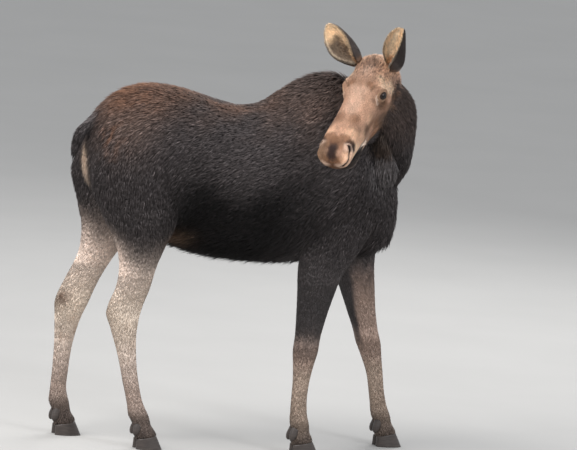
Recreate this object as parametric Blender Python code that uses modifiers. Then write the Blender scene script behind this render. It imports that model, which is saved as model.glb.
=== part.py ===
"""A cow moose standing at life size, her head turned back over her right shoulder.

Metres, +Z up. The trunk points along +X and the animal's left is +Y, with the hooves' soles at Z = 0.
Body forms are lofts: rings of super-ellipses carried along a trunk, neck, head or leg. The lofts are
joined and evened out into one hide, which thin cuts then part into the pieces a person would name.
"""

import math

import bmesh
import bpy
import numpy as np
from mathutils import Matrix, Vector

# ---------------------------------------------------------------- driving sizes
GAP = 0.0004              # clear space left where two pieces meet
CRUMB = 12                # a loose bit with no more points than this is no piece
ROOM = 0.0008             # the same round a piece that is let into another
RING_POINTS = 30          # points round each loft ring
RING_SPACING = 0.022      # distance between loft rings along a body part
BODY_VOXEL = 0.011        # grain of the body before it is thinned out
HEAD_VOXEL = 0.0065       # the head keeps a finer grain
BODY_TRIANGLES = 3120
HEAD_TRIANGLES = 1500
SHARP_ANGLE = math.radians(40)

# Trunk stations from buttock to chest:
# X, back height, belly height, half width, height of the widest line, fullness above, fullness below
TRUNK = [
    (-0.760, 1.370, 1.200, 0.050, 1.290, 2.0, 2.0),
    (-0.735, 1.480, 1.160, 0.120, 1.300, 2.0, 2.0),
    (-0.670, 1.575, 1.110, 0.180, 1.300, 2.0, 2.0),
    (-0.570, 1.638, 1.040, 0.228, 1.300, 2.0, 2.1),
    (-0.470, 1.660, 0.985, 0.246, 1.290, 2.0, 2.2),
    (-0.370, 1.655, 0.940, 0.250, 1.260, 1.9, 2.3),
    (-0.260, 1.628, 0.905, 0.258, 1.210, 1.9, 2.4),
    (-0.140, 1.592, 0.882, 0.275, 1.170, 1.9, 2.4),
    (-0.020, 1.574, 0.872, 0.286, 1.150, 1.9, 2.4),
    (0.080, 1.600, 0.868, 0.286, 1.150, 1.8, 2.4),
    (0.180, 1.668, 0.868, 0.276, 1.150, 1.6, 2.3),
    (0.280, 1.722, 0.872, 0.268, 1.150, 1.5, 2.2),
    (0.380, 1.742, 0.880, 0.264, 1.160, 1.5, 2.1),
    (0.470, 1.722, 0.892, 0.258, 1.170, 1.5, 2.1),
    (0.560, 1.655, 0.912, 0.240, 1.170, 1.6, 2.1),
    (0.640, 1.550, 0.912, 0.202, 1.160, 1.8, 2.1),
    (0.700, 1.410, 0.945, 0.140, 1.140, 2.0, 2.1),
    (0.733, 1.300, 0.975, 0.084, 1.120, 2.0, 2.0),
    (0.746, 1.210, 1.035, 0.034, 1.120, 2.0, 2.0),
]

# Neck stations from the withers to the back of the skull:
# centre, direction of the crest, depth to the crest, depth to the throat, half width
NECK = [
    ((0.340, 0.000, 1.300), (-0.64, 0.00, 0.77), 0.360, 0.330, 0.205),
    ((0.500, -0.012, 1.380), (-0.60, 0.05, 0.78), 0.285, 0.290, 0.188),
    ((0.600, -0.050, 1.475), (-0.42, 0.35, 0.80), 0.198, 0.228, 0.160),
    ((0.632, -0.110, 1.575), (0.00, 0.75, 0.62), 0.142, 0.190, 0.135),
    ((0.592, -0.162, 1.660), (0.35, 0.60, 0.70), 0.100, 0.165, 0.112),
    ((0.528, -0.208, 1.728), (0.52, 0.41, 0.75), 0.090, 0.135, 0.102),
]

# The head's own axes: the poll is the top of the head between the ears.
POLL = Vector((0.514, -0.220, 1.856))
HEAD_HEADING = math.radians(-133.0)   # turned back over the right shoulder
HEAD_DROP = math.radians(44.5)        # the nose hangs this far below level
# Head stations from poll to nose: distance, top, bottom, half width, widest line, fullness above, below
SKULL = [
    (-0.030, -0.035, -0.200, 0.055, -0.100, 2.0, 2.0),
    (0.000, -0.006, -0.245, 0.088, -0.095, 2.0, 2.0),
    (0.060, 0.009, -0.268, 0.099, -0.090, 2.3, 2.1),
    (0.120, 0.015, -0.272, 0.104, -0.085, 2.5, 2.1),
    (0.190, 0.011, -0.260, 0.106, -0.060, 2.6, 1.9),
    (0.245, 0.000, -0.240, 0.087, -0.085, 2.2, 2.0),
    (0.310, -0.010, -0.212, 0.082, -0.075, 2.4, 2.1),
    (0.380, -0.010, -0.182, 0.081, -0.070, 2.6, 2.2),
    (0.440, -0.006, -0.152, 0.083, -0.066, 2.7, 2.1),
    (0.500, -0.006, -0.142, 0.084, -0.064, 2.7, 2.0),
    (0.550, -0.014, -0.137, 0.082, -0.066, 2.7, 1.9),
    (0.583, -0.032, -0.127, 0.073, -0.070, 2.5, 1.9),
    (0.600, -0.064, -0.107, 0.047, -0.082, 2.0, 1.9),
]
JAW = [
    (0.060, -0.130, -0.262, 0.064, -0.190, 2.0, 2.0),
    (0.120, -0.130, -0.286, 0.074, -0.195, 2.0, 2.0),
    (0.180, -0.130, -0.284, 0.072, -0.200, 2.0, 2.0),
    (0.250, -0.130, -0.264, 0.062, -0.195, 2.0, 2.0),
    (0.330, -0.130, -0.238, 0.053, -0.180, 2.0, 2.1),
    (0.400, -0.130, -0.223, 0.048, -0.175, 2.0, 2.2),
    (0.460, -0.138, -0.224, 0.046, -0.180, 2.0, 2.2),
    (0.505, -0.146, -0.212, 0.039, -0.180, 2.0, 2.0),
    (0.532, -0.160, -0.195, 0.020, -0.178, 2.0, 2.0),
]
THROAT = [   # the fold of skin from the jaw to the neck, in the same columns
    (0.020, -0.180, -0.320, 0.058, -0.240, 2.0, 2.0),
    (0.080, -0.180, -0.355, 0.066, -0.250, 2.0, 2.0),
    (0.150, -0.180, -0.370, 0.062, -0.260, 2.0, 2.0),
    (0.220, -0.180, -0.356, 0.054, -0.260, 2.0, 2.0),
    (0.275, -0.180, -0.312, 0.044, -0.240, 2.0, 2.0),
    (0.320, -0.180, -0.262, 0.032, -0.220, 2.0, 2.0),
]
MOUTH_HINGE = (0.405, -0.143)   # corner of the mouth: distance from the poll, height
CHIN_LINE = (0.540, -0.149)     # where the lips meet in front
EYE = (0.190, 0.089, -0.050)    # centre of the left eyeball from the poll: forward, left, up
EYE_RADIUS = 0.0205
EAR_LENGTH = 0.224
EAR_WALL = 0.008
EAR_OUTLINE = [   # part of the length, part of the full width, half the roll in degrees
    (0.00, 0.40, 150),
    (0.12, 0.66, 138),
    (0.28, 0.88, 116),
    (0.50, 1.00, 92),
    (0.70, 0.90, 78),
    (0.86, 0.64, 66),
    (0.96, 0.34, 56),
    (1.00, 0.12, 50),
]
# In head axes (forward, left, up): where each ear starts, where it points, which way its cup opens;
# then how wide it is, as the ear that faces forward is rolled tighter
EARS = {
    "left": ((0.029, 0.094, -0.050), (-0.335, 0.275, 0.90), (0.64, -0.63, 0.43), 0.118),
    "right": ((0.035, -0.084, -0.040), (-0.42, -0.72, 0.55), (0.81, -0.03, 0.58), 0.118),
}

# Hind leg slices: height, half length, centre from the middle plane, half width
HIND_FORM = [
    (1.500, 0.090, 0.085, 0.050),
    (1.400, 0.160, 0.108, 0.082),
    (1.310, 0.197, 0.126, 0.102),
    (1.220, 0.215, 0.142, 0.114),
    (1.080, 0.191, 0.160, 0.112),
    (0.960, 0.132, 0.172, 0.092),
    (0.840, 0.093, 0.176, 0.072),
    (0.730, 0.085, 0.172, 0.057),
    (0.665, 0.086, 0.165, 0.051),
    (0.620, 0.085, 0.160, 0.051),
    (0.550, 0.068, 0.158, 0.050),
    (0.440, 0.050, 0.158, 0.040),
    (0.300, 0.042, 0.160, 0.034),
    (0.200, 0.043, 0.160, 0.036),
    (0.155, 0.050, 0.160, 0.044),
    (0.110, 0.046, 0.160, 0.042),
    (0.070, 0.054, 0.160, 0.046),
    (0.040, 0.050, 0.160, 0.044),
]
# Foreleg slices, the same way
FORE_FORM = [
    (1.300, 0.130, 0.130, 0.070),
    (1.120, 0.160, 0.160, 0.088),
    (1.000, 0.150, 0.170, 0.088),
    (0.920, 0.135, 0.174, 0.084),
    (0.840, 0.112, 0.174, 0.077),
    (0.740, 0.092, 0.172, 0.067),
    (0.620, 0.073, 0.168, 0.056),
    (0.540, 0.064, 0.165, 0.052),
    (0.480, 0.063, 0.163, 0.053),
    (0.420, 0.054, 0.163, 0.046),
    (0.340, 0.044, 0.163, 0.037),
    (0.240, 0.041, 0.163, 0.035),
    (0.180, 0.044, 0.163, 0.038),
    (0.150, 0.048, 0.163, 0.042),
    (0.110, 0.045, 0.163, 0.041),
    (0.070, 0.053, 0.163, 0.046),
    (0.040, 0.049, 0.163, 0.044),
]
# Where each leg's middle line passes, X at a few heights: a slow step, left legs apart, right together
LEG_LINES = {
    "hind_leg_right": [
        (1.500, -0.520), (1.400, -0.535), (1.310, -0.545), (1.220, -0.550), (1.080, -0.521),
        (0.960, -0.508), (0.840, -0.512), (0.730, -0.527), (0.620, -0.557), (0.550, -0.549),
        (0.440, -0.526), (0.300, -0.494), (0.155, -0.446), (0.070, -0.405),
    ],
    "hind_leg_left": [
        (1.500, -0.520), (1.400, -0.540), (1.310, -0.555), (1.220, -0.556), (1.080, -0.535),
        (0.960, -0.558), (0.840, -0.600), (0.730, -0.655), (0.620, -0.704), (0.550, -0.718),
        (0.440, -0.728), (0.300, -0.733), (0.155, -0.728), (0.070, -0.695),
    ],
    "foreleg_right": [
        (1.300, 0.500), (1.120, 0.460), (1.000, 0.415), (0.840, 0.356), (0.740, 0.342),
        (0.620, 0.330), (0.480, 0.320), (0.340, 0.312), (0.180, 0.314), (0.070, 0.338),
    ],
    "foreleg_left": [
        (1.300, 0.510), (1.120, 0.530), (1.000, 0.565), (0.840, 0.615), (0.740, 0.645),
        (0.620, 0.678), (0.480, 0.722), (0.340, 0.765), (0.180, 0.800), (0.070, 0.840),
    ],
}

TAIL = [   # centre X, Z, half depth, half width
    (-0.655, 1.520, 0.024, 0.030),
    (-0.690, 1.500, 0.028, 0.035),
    (-0.724, 1.474, 0.029, 0.037),
    (-0.764, 1.425, 0.029, 0.038),
    (-0.790, 1.370, 0.027, 0.037),
    (-0.798, 1.332, 0.021, 0.030),
    (-0.798, 1.312, 0.009, 0.014),
]
BELL = [   # the hanging flap under the throat: Z, X, half width across the view of it, half depth
    (1.500, 0.562, 0.046, 0.040),
    (1.455, 0.575, 0.052, 0.044),
    (1.400, 0.596, 0.047, 0.040),
    (1.340, 0.610, 0.055, 0.044),
    (1.288, 0.612, 0.044, 0.035),
    (1.252, 0.607, 0.020, 0.016),
]
BELL_Y = -0.215

# Claws and dewclaws of one foot, from the middle of the pastern's end
CORONET = 0.054           # height where horn meets skin, at the middle of the foot
CORONET_SLOPE = 0.20      # it rises this much forward
SOLE_TOE = 0.080          # toe and heel, forward of the foot's middle, at the sole and at the coronet
SOLE_HEEL = -0.046
TOP_TOE = 0.048
TOP_HEEL = -0.045
CLAW_WIDTH = 0.048
CLAW_TAPER = 0.12         # the top of a claw is narrower by this part
CLEFT = 0.006             # width of the cleft between two claws
CLAW_POINTS = 12
DEWCLAW = (-0.044, 0.021, 0.098)   # middle of a dewclaw: forward, out, up
DEWCLAW_RADIUS = 0.0165
DEWCLAW_LENGTH = 0.036    # from its middle to where its point would be
FOOT_HEIGHT = 0.070       # where a foot's middle is read from its leg's line

# Where thin cuts part the hide: centre, the way the cut faces, radius of the cutting disc
HEAD_CUT = ((0.612, -0.180, 1.600), (-0.02, -0.93, 0.37), 0.26)
NECK_CUT = ((0.520, -0.020, 1.420), (0.75, -0.10, 0.66), 0.41)
HIND_CUT = ((-0.560, 0.170, 1.000), (0.38, 0.0, 0.925), 0.215)
FORE_CUT = (0.860, 0.174, 0.168)   # height, distance from the middle plane, radius
JOINT_CUT_RADIUS = 0.13
HOCK_HEIGHT = 0.585
KNEE_HEIGHT = 0.455
FETLOCK_HEIGHT = 0.172

MOUTH_CUT_HALF = 0.14     # the mouth's cut reaches this far to each side
MOUTH_CUT_BACK = 0.045    # behind the chin it runs back this far on its way down
MOUTH_CUT_DROP = 0.180
HEAD_NECK_RING = 14       # the head's own mesh starts at this ring of the neck
INSIDE_JAW = (0.45, 0.0, -0.22)    # points in head axes that tell the pieces apart
INSIDE_NOSE = (0.55, 0.0, -0.08)

# Muscle and bone that show under the coat: centre, reach along X, Y, Z, height of the swelling
FORMS = [
    ((-0.500, 0.235, 1.520), (0.070, 0.060, 0.060), 0.010),    # hip bone
    ((-0.640, 0.190, 1.330), (0.130, 0.120, 0.160), 0.016),    # rump muscle
    ((-0.360, 0.250, 1.080), (0.070, 0.080, 0.110), 0.018),    # stifle
    ((-0.330, 0.270, 1.360), (0.090, 0.090, 0.120), -0.020),   # hollow of the flank
    ((-0.260, 0.230, 1.000), (0.090, 0.080, 0.090), -0.010),   # fold in front of the stifle
    ((0.460, 0.250, 1.240), (0.110, 0.090, 0.180), 0.014),     # shoulder
    ((0.300, 0.260, 1.060), (0.100, 0.080, 0.110), 0.010),     # upper arm
    ((0.180, 0.270, 1.260), (0.060, 0.090, 0.170), -0.010),    # hollow behind the shoulder
]


# ---------------------------------------------------------------- loft tools
def interpolate(table, count):
    """Rows of a station table at even steps of its first column, along a smooth curve through them."""
    rows = np.array(table, float)
    t, values = rows[:, 0], rows
    slopes = np.gradient(values, t, axis=0)
    at = np.linspace(t[0], t[-1], count)
    order = 1 if t[-1] > t[0] else -1
    seg = np.clip(np.searchsorted(order * t, order * at, "right") - 1, 0, len(t) - 2)
    h = t[seg + 1] - t[seg]
    s = ((at - t[seg]) / h)[:, None]
    h = h[:, None]
    return (
        values[seg] * (2 * s**3 - 3 * s**2 + 1)
        + slopes[seg] * h * (s**3 - 2 * s**2 + s)
        + values[seg + 1] * (3 * s**2 - 2 * s**3)
        + slopes[seg + 1] * h * (s**3 - s**2)
    )


def ring(centre, side, up, half_width, above, below, full_above=2.0, full_below=2.0):
    """A super-ellipse round centre: half_width along side, above and below along up."""
    angle = np.linspace(0, 2 * math.pi, RING_POINTS, endpoint=False)
    c, s = np.cos(angle), np.sin(angle)
    power = np.where(s >= 0, 2 / full_above, 2 / full_below)
    across = half_width * np.sign(c) * np.abs(c) ** power
    height = np.where(s >= 0, above, below) * np.sign(s) * np.abs(s) ** power
    return np.asarray(centre) + np.outer(across, side) + np.outer(height, up)


def loft(name, rings):
    """A closed skin over a list of rings, with a fan of faces over each end."""
    rings = np.array(rings)
    count, points = rings.shape[:2]
    verts = [tuple(p) for r in rings for p in r] + [tuple(rings[0].mean(0)), tuple(rings[-1].mean(0))]
    first, last = count * points, count * points + 1
    faces = []
    for k in range(points):
        n = (k + 1) % points
        for i in range(count - 1):
            a, b = i * points, (i + 1) * points
            faces.append((a + k, a + n, b + n, b + k))
        faces.append((first, n, k))
        faces.append((last, (count - 1) * points + k, (count - 1) * points + n))
    mesh = bpy.data.meshes.new(name)
    mesh.from_pydata(verts, [], faces)
    made = bmesh.new()
    made.from_mesh(mesh)
    bmesh.ops.recalc_face_normals(made, faces=made.faces)
    made.to_mesh(mesh)
    made.free()
    return add_object(name, mesh)


def add_object(name, mesh):
    """A new object with that mesh, linked to the scene."""
    made = bpy.data.objects.new(name, mesh)
    bpy.context.scene.collection.objects.link(made)
    return made


def steps(length):
    """How many rings a form of that length needs."""
    return max(6, round(abs(length) / RING_SPACING))


# ---------------------------------------------------------------- body forms
def trunk():
    """The barrel, shoulders and rump as upright slices."""
    rows = interpolate(TRUNK, steps(1.53))
    side, up = (0, 1, 0), (0, 0, 1)
    return loft("trunk_form", [
        ring((x, 0, wide), side, up, half, top - wide, wide - bottom, above, below)
        for x, top, bottom, half, wide, above, below in rows
    ])


def neck(first=0):
    """The neck from its ring number first to the skull."""
    centres = np.array([station[0] for station in NECK])
    along = np.concatenate([[0], np.cumsum(np.linalg.norm(np.diff(centres, axis=0), axis=1))])
    table = [
        (s, *centre, *crest, to_crest, to_throat, half)
        for s, (centre, crest, to_crest, to_throat, half) in zip(along, NECK)
    ]
    rows = interpolate(table, steps(along[-1]))
    line = rows[:, 1:4]
    tangents = np.gradient(line, axis=0)
    rings = []
    for row, centre, tangent in zip(rows, line, tangents):
        tangent = Vector(tangent).normalized()
        crest = Vector(row[4:7])
        crest = (crest - crest.dot(tangent) * tangent).normalized()
        side = crest.cross(tangent)
        rings.append(ring(centre, side, crest, row[9], row[7], row[8], 1.8, 1.9))
    return loft("neck_form", rings[first:])


def head_matrix():
    """Head axes in the world: X to the nose, Y to the animal's left, Z to the top of the head."""
    turn = Matrix.Rotation(HEAD_HEADING, 4, "Z") @ Matrix.Rotation(HEAD_DROP, 4, "Y")
    return Matrix.Translation(POLL) @ turn


def head_forms():
    """The skull, the jaw and the fold of skin under the jaw, placed in the world."""
    place = head_matrix()
    made = []
    for name, table in (("skull_form", SKULL), ("jaw_form", JAW), ("throat_form", THROAT)):
        rows = interpolate(table, steps(2 * (table[-1][0] - table[0][0])))
        form = loft(name, [
            ring((x, 0, wide), (0, 1, 0), (0, 0, 1), half, top - wide, wide - bottom, above, below)
            for x, top, bottom, half, wide, above, below in rows
        ])
        form.data.transform(place)
        made.append(form)
    return made


def leg(name):
    """One leg as level slices from inside the trunk down to the coronet."""
    table = HIND_FORM if name.startswith("hind") else FORE_FORM
    side = 1 if name.endswith("left") else -1
    middle_x = [leg_x(name, row[0]) for row in table]
    rows = interpolate([(*row, at) for row, at in zip(table, middle_x)], steps(table[0][0] * 1.5))
    return loft(name + "_form", [
        ring((at, side * middle, z), (0, 1, 0), (1, 0, 0), half_width, half_length, half_length, 2.2, 2.2)
        for z, half_length, middle, half_width, at in rows
    ])


def leg_x(name, height):
    """X of a leg's middle line at a height."""
    line = interpolate(LEG_LINES[name], 60)
    return float(np.interp(height, line[::-1, 0], line[::-1, 1]))


def tail():
    """A short flat tail that hangs against the rump."""
    rows = interpolate([(i, *row) for i, row in enumerate(TAIL)], 8)
    along = np.gradient(rows[:, 1:3], axis=0)
    rings = []
    for (_, x, z, half_depth, half_width), (run, rise) in zip(rows, along):
        back = Vector((rise, 0, -run)).normalized()
        rings.append(ring((x, 0, z), (0, 1, 0), back, half_width, half_depth, half_depth, 2.4, 2.4)[::3])
    return loft("tail", rings)


def bell():
    """The flap of skin that hangs under the throat, thickest near its end."""
    rows = interpolate(BELL, 9)
    return loft("bell", [
        ring((x, BELL_Y, z), (0.95, -0.31, 0), (0.31, 0.95, 0), half_width, half_depth, half_depth)[::3]
        for z, x, half_width, half_depth in rows
    ])


# ---------------------------------------------------------------- mesh tools
def evaluated(source, name):
    """A new object holding source's mesh with its modifiers applied; source is removed."""
    bpy.context.view_layer.update()
    graph = bpy.context.evaluated_depsgraph_get()
    mesh = bpy.data.meshes.new_from_object(source.evaluated_get(graph))
    mesh.transform(source.matrix_world)
    bpy.data.objects.remove(source)
    mesh.name = name
    return add_object(name, mesh)


def joined(name, forms):
    """One object with the forms' meshes side by side."""
    both = bmesh.new()
    for form in forms:
        both.from_mesh(form.data)
    mesh = bpy.data.meshes.new(name)
    both.to_mesh(mesh)
    both.free()
    return add_object(name, mesh)


def surface(mesh):
    """The mesh's points and the normals there."""
    points = np.empty(len(mesh.vertices) * 3)
    normals = np.empty(len(mesh.vertices) * 3)
    mesh.vertices.foreach_get("co", points)
    mesh.vertex_normals.foreach_get("vector", normals)
    return points.reshape(-1, 3), normals.reshape(-1, 3)


def swell(body, forms):
    """Moves the surface in or out round each centre, on both sides, fading as a bell curve."""
    mesh = body.data
    points, normals = surface(mesh)
    push = np.zeros(len(points))
    for centre, reach, height in forms:
        for side in (1, -1):
            away = (points - np.array(centre) * (1, side, 1)) / reach
            push += height * np.exp(-(away**2).sum(1))
    points += normals * push[:, None]
    mesh.vertices.foreach_set("co", points.ravel())
    mesh.update()


def hide_of(name, forms, voxel, triangles):
    """The forms made one closed skin, evened out where they meet, and thinned to that many triangles."""
    body = joined(name, forms)
    body.modifiers.new("Union", "REMESH").mode = "VOXEL"
    body.modifiers["Union"].voxel_size = voxel
    even = body.modifiers.new("Even", "SMOOTH")
    even.factor, even.iterations = 0.5, 6
    body = evaluated(body, name)
    swell(body, FORMS)
    thin = body.modifiers.new("Thin", "DECIMATE")
    thin.ratio = triangles / (2 * len(body.data.polygons))
    return evaluated(body, name)


def boolean(body, cutter):
    """body with the cutter taken away; the cutter is removed."""
    name = body.name
    change = body.modifiers.new("Cut", "BOOLEAN")
    change.operation, change.object = "DIFFERENCE", cutter
    made = evaluated(body, name + "_cut")
    bpy.data.objects.remove(cutter)
    made.name = name
    return made


def islands(work):
    """Lists of the vertices that hang together, the longest list first."""
    left, found = set(work.verts), []
    while left:
        start = left.pop()
        group, edge = {start}, [start]
        while edge:
            for link in edge.pop().link_edges:
                for vert in link.verts:
                    if vert in left:
                        left.discard(vert)
                        group.add(vert)
                        edge.append(vert)
        found.append(group)
    return sorted(found, key=len, reverse=True)


def hull(piece):
    """A new object round the piece's points, with no hollows."""
    work = bmesh.new()
    for vertex in piece.data.vertices:
        work.verts.new(vertex.co)
    bmesh.ops.convex_hull(work, input=work.verts)
    bmesh.ops.delete(work, geom=[v for v in work.verts if not v.link_faces], context="VERTS")
    mesh = bpy.data.meshes.new("hull")
    work.to_mesh(mesh)
    work.free()
    return add_object("hull", mesh)


def hollow_for(body, piece, filled=False):
    """body with room for piece, a gap wide all round, and without crumbs left inside.
    The room for a filled cup has no flesh in the cup."""
    room = hull(piece) if filled else add_object("room", piece.data.copy())
    points, normals = surface(room.data)
    room.data.vertices.foreach_set("co", (points + normals * ROOM).ravel())
    body = boolean(body, room)
    work = bmesh.new()
    work.from_mesh(body.data)
    for crumb in islands(work)[1:]:
        bmesh.ops.delete(work, geom=list(crumb), context="VERTS")
    work.to_mesh(body.data)
    work.free()
    return body


def slab(centre, normal, radius):
    """A disc as thin as the gap between two pieces."""
    bpy.ops.mesh.primitive_cylinder_add(
        vertices=24, radius=radius, depth=GAP, location=centre,
        rotation=Vector(normal).to_track_quat("Z", "Y").to_euler())
    return bpy.context.active_object


def parted(body, name, cutter, inside):
    """Parts body with a thin cutter; the loose piece nearest the point inside becomes a new object.
    Returns what is left of the body, and that new object."""
    body = boolean(body, cutter)
    work = bmesh.new()
    work.from_mesh(body.data)
    groups = [group for group in islands(work) if len(group) > CRUMB]
    if len(groups) < 2:
        raise RuntimeError(f"the cut for {name} parts nothing")
    inside = Vector(inside)
    chosen = min(groups, key=lambda group: min((v.co - inside).length_squared for v in group))
    taken = {v.index for v in chosen}
    piece = work.copy()
    bmesh.ops.delete(piece, geom=[v for v in piece.verts if v.index not in taken], context="VERTS")
    rest = max((group for group in groups if group is not chosen), key=len)
    bmesh.ops.delete(work, geom=[v for v in work.verts if v not in rest], context="VERTS")
    mesh = bpy.data.meshes.new(name)
    piece.to_mesh(mesh)
    work.to_mesh(body.data)
    piece.free()
    work.free()
    return body, add_object(name, mesh)


# ---------------------------------------------------------------- small pieces
def ear(side):
    """A cupped leaf: arcs of a shrinking roll carried along the ear, then given a wall."""
    base, along, opening = (Vector(v) for v in EARS[side][:3])
    width = EARS[side][3]
    place = head_matrix()
    turn = place.to_3x3()
    along = (turn @ along).normalized()
    opening = turn @ opening
    opening = (opening - opening.dot(along) * along).normalized()
    across = along.cross(opening)
    base = place @ base
    rows, columns = interpolate(EAR_OUTLINE, 10), 9
    bm = bmesh.new()
    grid = []
    for t, part, half_roll in rows:
        half_roll = math.radians(half_roll)
        radius = width / 2 * part / math.sin(min(half_roll, math.pi / 2))
        line = []
        for j in range(columns):
            angle = half_roll * (2 * j / (columns - 1) - 1)
            lift = radius * (math.cos(half_roll / 2) - math.cos(angle))
            point = base + along * (EAR_LENGTH * t) + across * (radius * math.sin(angle)) + opening * lift
            line.append(bm.verts.new(point))
        grid.append(line)
    for i in range(len(grid) - 1):
        for j in range(columns - 1):
            bm.faces.new((grid[i][j], grid[i][j + 1], grid[i + 1][j + 1], grid[i + 1][j]))
    mesh = bpy.data.meshes.new("ear_" + side)
    bm.to_mesh(mesh)
    bm.free()
    made = add_object("ear_" + side, mesh)
    wall = made.modifiers.new("Wall", "SOLIDIFY")
    wall.thickness, wall.offset = EAR_WALL, 0
    return evaluated(made, "ear_" + side)


def eyeball(side):
    """A ball in the eye's socket."""
    sign = 1 if side == "left" else -1
    forward, left, up = EYE
    centre = head_matrix() @ Vector((forward, sign * left, up))
    bpy.ops.mesh.primitive_uv_sphere_add(segments=14, ring_count=8, radius=EYE_RADIUS, location=centre)
    made = bpy.context.active_object
    made.name = "eye_" + side
    return evaluated(made, "eye_" + side)


def claw(name, x, y, out):
    """One half of a cloven hoof: pointed in front, flat below, its wall leaning back to the coronet.
    out is +1 or -1, the way from the cleft."""
    rings = []
    for t in (0.0, 0.5, 1.0):
        toe = SOLE_TOE + (TOP_TOE - SOLE_TOE) * t
        heel = SOLE_HEEL + (TOP_HEEL - SOLE_HEEL) * t
        wide = CLAW_WIDTH * (1 - CLAW_TAPER * t)
        points = []
        for k in range(CLAW_POINTS):
            angle = 2 * math.pi * k / CLAW_POINTS
            c, s = math.cos(angle), math.sin(angle)
            forward = toe * c if c > 0 else -heel * c
            across = CLEFT / 2 + wide * (0.5 + 0.5 * s - 0.2 * max(c, 0) ** 2)
            height = t * (CORONET + CORONET_SLOPE * forward)
            points.append((x + forward, y + out * across, height))
        rings.append(points)
    return loft(name, rings)


def dewclaw(name, x, y, out):
    """A short blunt horn behind the pastern, pointing down and a little back and out."""
    forward, aside, up = DEWCLAW
    rings = []
    for t in (-0.6, 0.0, 0.6, 0.95):
        radius = DEWCLAW_RADIUS * math.sqrt(1 - max(t, 0) ** 2)
        centre = (x + forward - 0.014 * t, y + out * (aside + 0.005 * t), up - DEWCLAW_LENGTH * t)
        rings.append(ring(centre, (0, 1, 0), (0.9, 0, -0.4), radius, radius * 1.2, radius * 1.2)[::4])
    return loft(name, rings)


# ---------------------------------------------------------------- materials
COLOURS = {   # red, green, blue, roughness
    "dark_coat": (0.030, 0.024, 0.022, 0.75),
    "face_coat": (0.200, 0.120, 0.080, 0.75),
    "leg_coat": (0.240, 0.185, 0.150, 0.75),
    "horn": (0.035, 0.030, 0.028, 0.45),
    "eye": (0.012, 0.007, 0.005, 0.10),
}


def material(name):
    found = bpy.data.materials.get(name)
    if found:
        return found
    red, green, blue, rough = COLOURS[name]
    made = bpy.data.materials.new(name)
    made.use_nodes = True
    shader = made.node_tree.nodes["Principled BSDF"]
    shader.inputs["Base Color"].default_value = (red, green, blue, 1)
    shader.inputs["Roughness"].default_value = rough
    return made


def material_for(name):
    if name.startswith("eye"):
        return "eye"
    if "claw" in name:
        return "horn"
    if name in ("head", "lower_jaw") or name.startswith("ear"):
        return "face_coat"
    if name.endswith(("_cannon", "_pastern")) or name.startswith("hind_leg"):
        return "leg_coat"
    return "dark_coat"


# ---------------------------------------------------------------- assembly
def mouth_cutter():
    """A thin bent sheet along the lips and then down behind the chin, across the whole muzzle."""
    hinge_a, hinge_c = MOUTH_HINGE
    front_a, front_c = CHIN_LINE
    line = [
        (front_a + 0.10, front_c - 0.004, 0, GAP / 2),
        (hinge_a, hinge_c, -GAP / 2, GAP / 2),
        (hinge_a - MOUTH_CUT_BACK, hinge_c - MOUTH_CUT_DROP, -GAP / 2, 0),
    ]
    work = bmesh.new()
    rows = []
    for a, c, forward, lift in line:
        corner = [(a + way * forward, b, c + way * lift)
                  for b in (-MOUTH_CUT_HALF, MOUTH_CUT_HALF) for way in (-1, 1)]
        rows.append([work.verts.new(head_matrix() @ Vector(p)) for p in corner])
    for near, far in zip(rows, rows[1:]):
        for i, j in ((0, 1), (1, 3), (3, 2), (2, 0)):
            work.faces.new((near[i], near[j], far[j], far[i]))
    work.faces.new((rows[0][0], rows[0][1], rows[0][3], rows[0][2]))
    work.faces.new((rows[-1][0], rows[-1][1], rows[-1][3], rows[-1][2]))
    bmesh.ops.recalc_face_normals(work, faces=work.faces)
    mesh = bpy.data.meshes.new("mouth")
    work.to_mesh(mesh)
    work.free()
    return add_object("mouth", mesh)


def build_head():
    """The head from its own fine mesh, parted from the neck, with its lower jaw."""
    forms = [neck(first=HEAD_NECK_RING), *head_forms()]
    head = hide_of("head", forms, HEAD_VOXEL, HEAD_TRIANGLES)
    for form in forms:
        bpy.data.objects.remove(form)
    head, neck_end = parted(head, "neck_end", slab(*HEAD_CUT), NECK[2][0])
    bpy.data.objects.remove(neck_end)
    return parted(head, "lower_jaw", mouth_cutter(), head_matrix() @ Vector(INSIDE_JAW))


def build_leg(body, name):
    """Parts one leg from the body and across its joints, and gives it claws and dewclaws."""
    side = 1 if name.endswith("left") else -1
    hind = name.startswith("hind")
    foot_x = leg_x(name, FOOT_HEIGHT)
    foot_y = side * (HIND_FORM if hind else FORE_FORM)[-1][2]
    foot = (foot_x, foot_y, CORONET)
    if hind:
        (x, y, z), way, radius = HIND_CUT
        cutter = slab((x, side * y, z), way, radius)
    else:
        z, y, radius = FORE_CUT
        cutter = slab((leg_x(name, z), side * y, z), (0, 0, 1), radius)
    body, lower = parted(body, name, cutter, foot)
    for part, z in (("_cannon", HOCK_HEIGHT if hind else KNEE_HEIGHT), ("_pastern", FETLOCK_HEIGHT)):
        cutter = slab((leg_x(name, z), foot_y, z), (0, 0, 1), JOINT_CUT_RADIUS)
        lower = parted(lower, name + part, cutter, foot)[1]
    cutter = slab((foot_x, foot_y, CORONET + GAP), (-CORONET_SLOPE, 0, 1), JOINT_CUT_RADIUS)
    pastern, end = parted(lower, "end", cutter, foot)
    bpy.data.objects.remove(end)
    for word, out in (("outer", side), ("inner", -side)):
        claw(f"{name}_claw_{word}", foot_x, foot_y, out)
        pastern = hollow_for(pastern, dewclaw(f"{name}_dewclaw_{word}", foot_x, foot_y, out))
    return body


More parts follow.
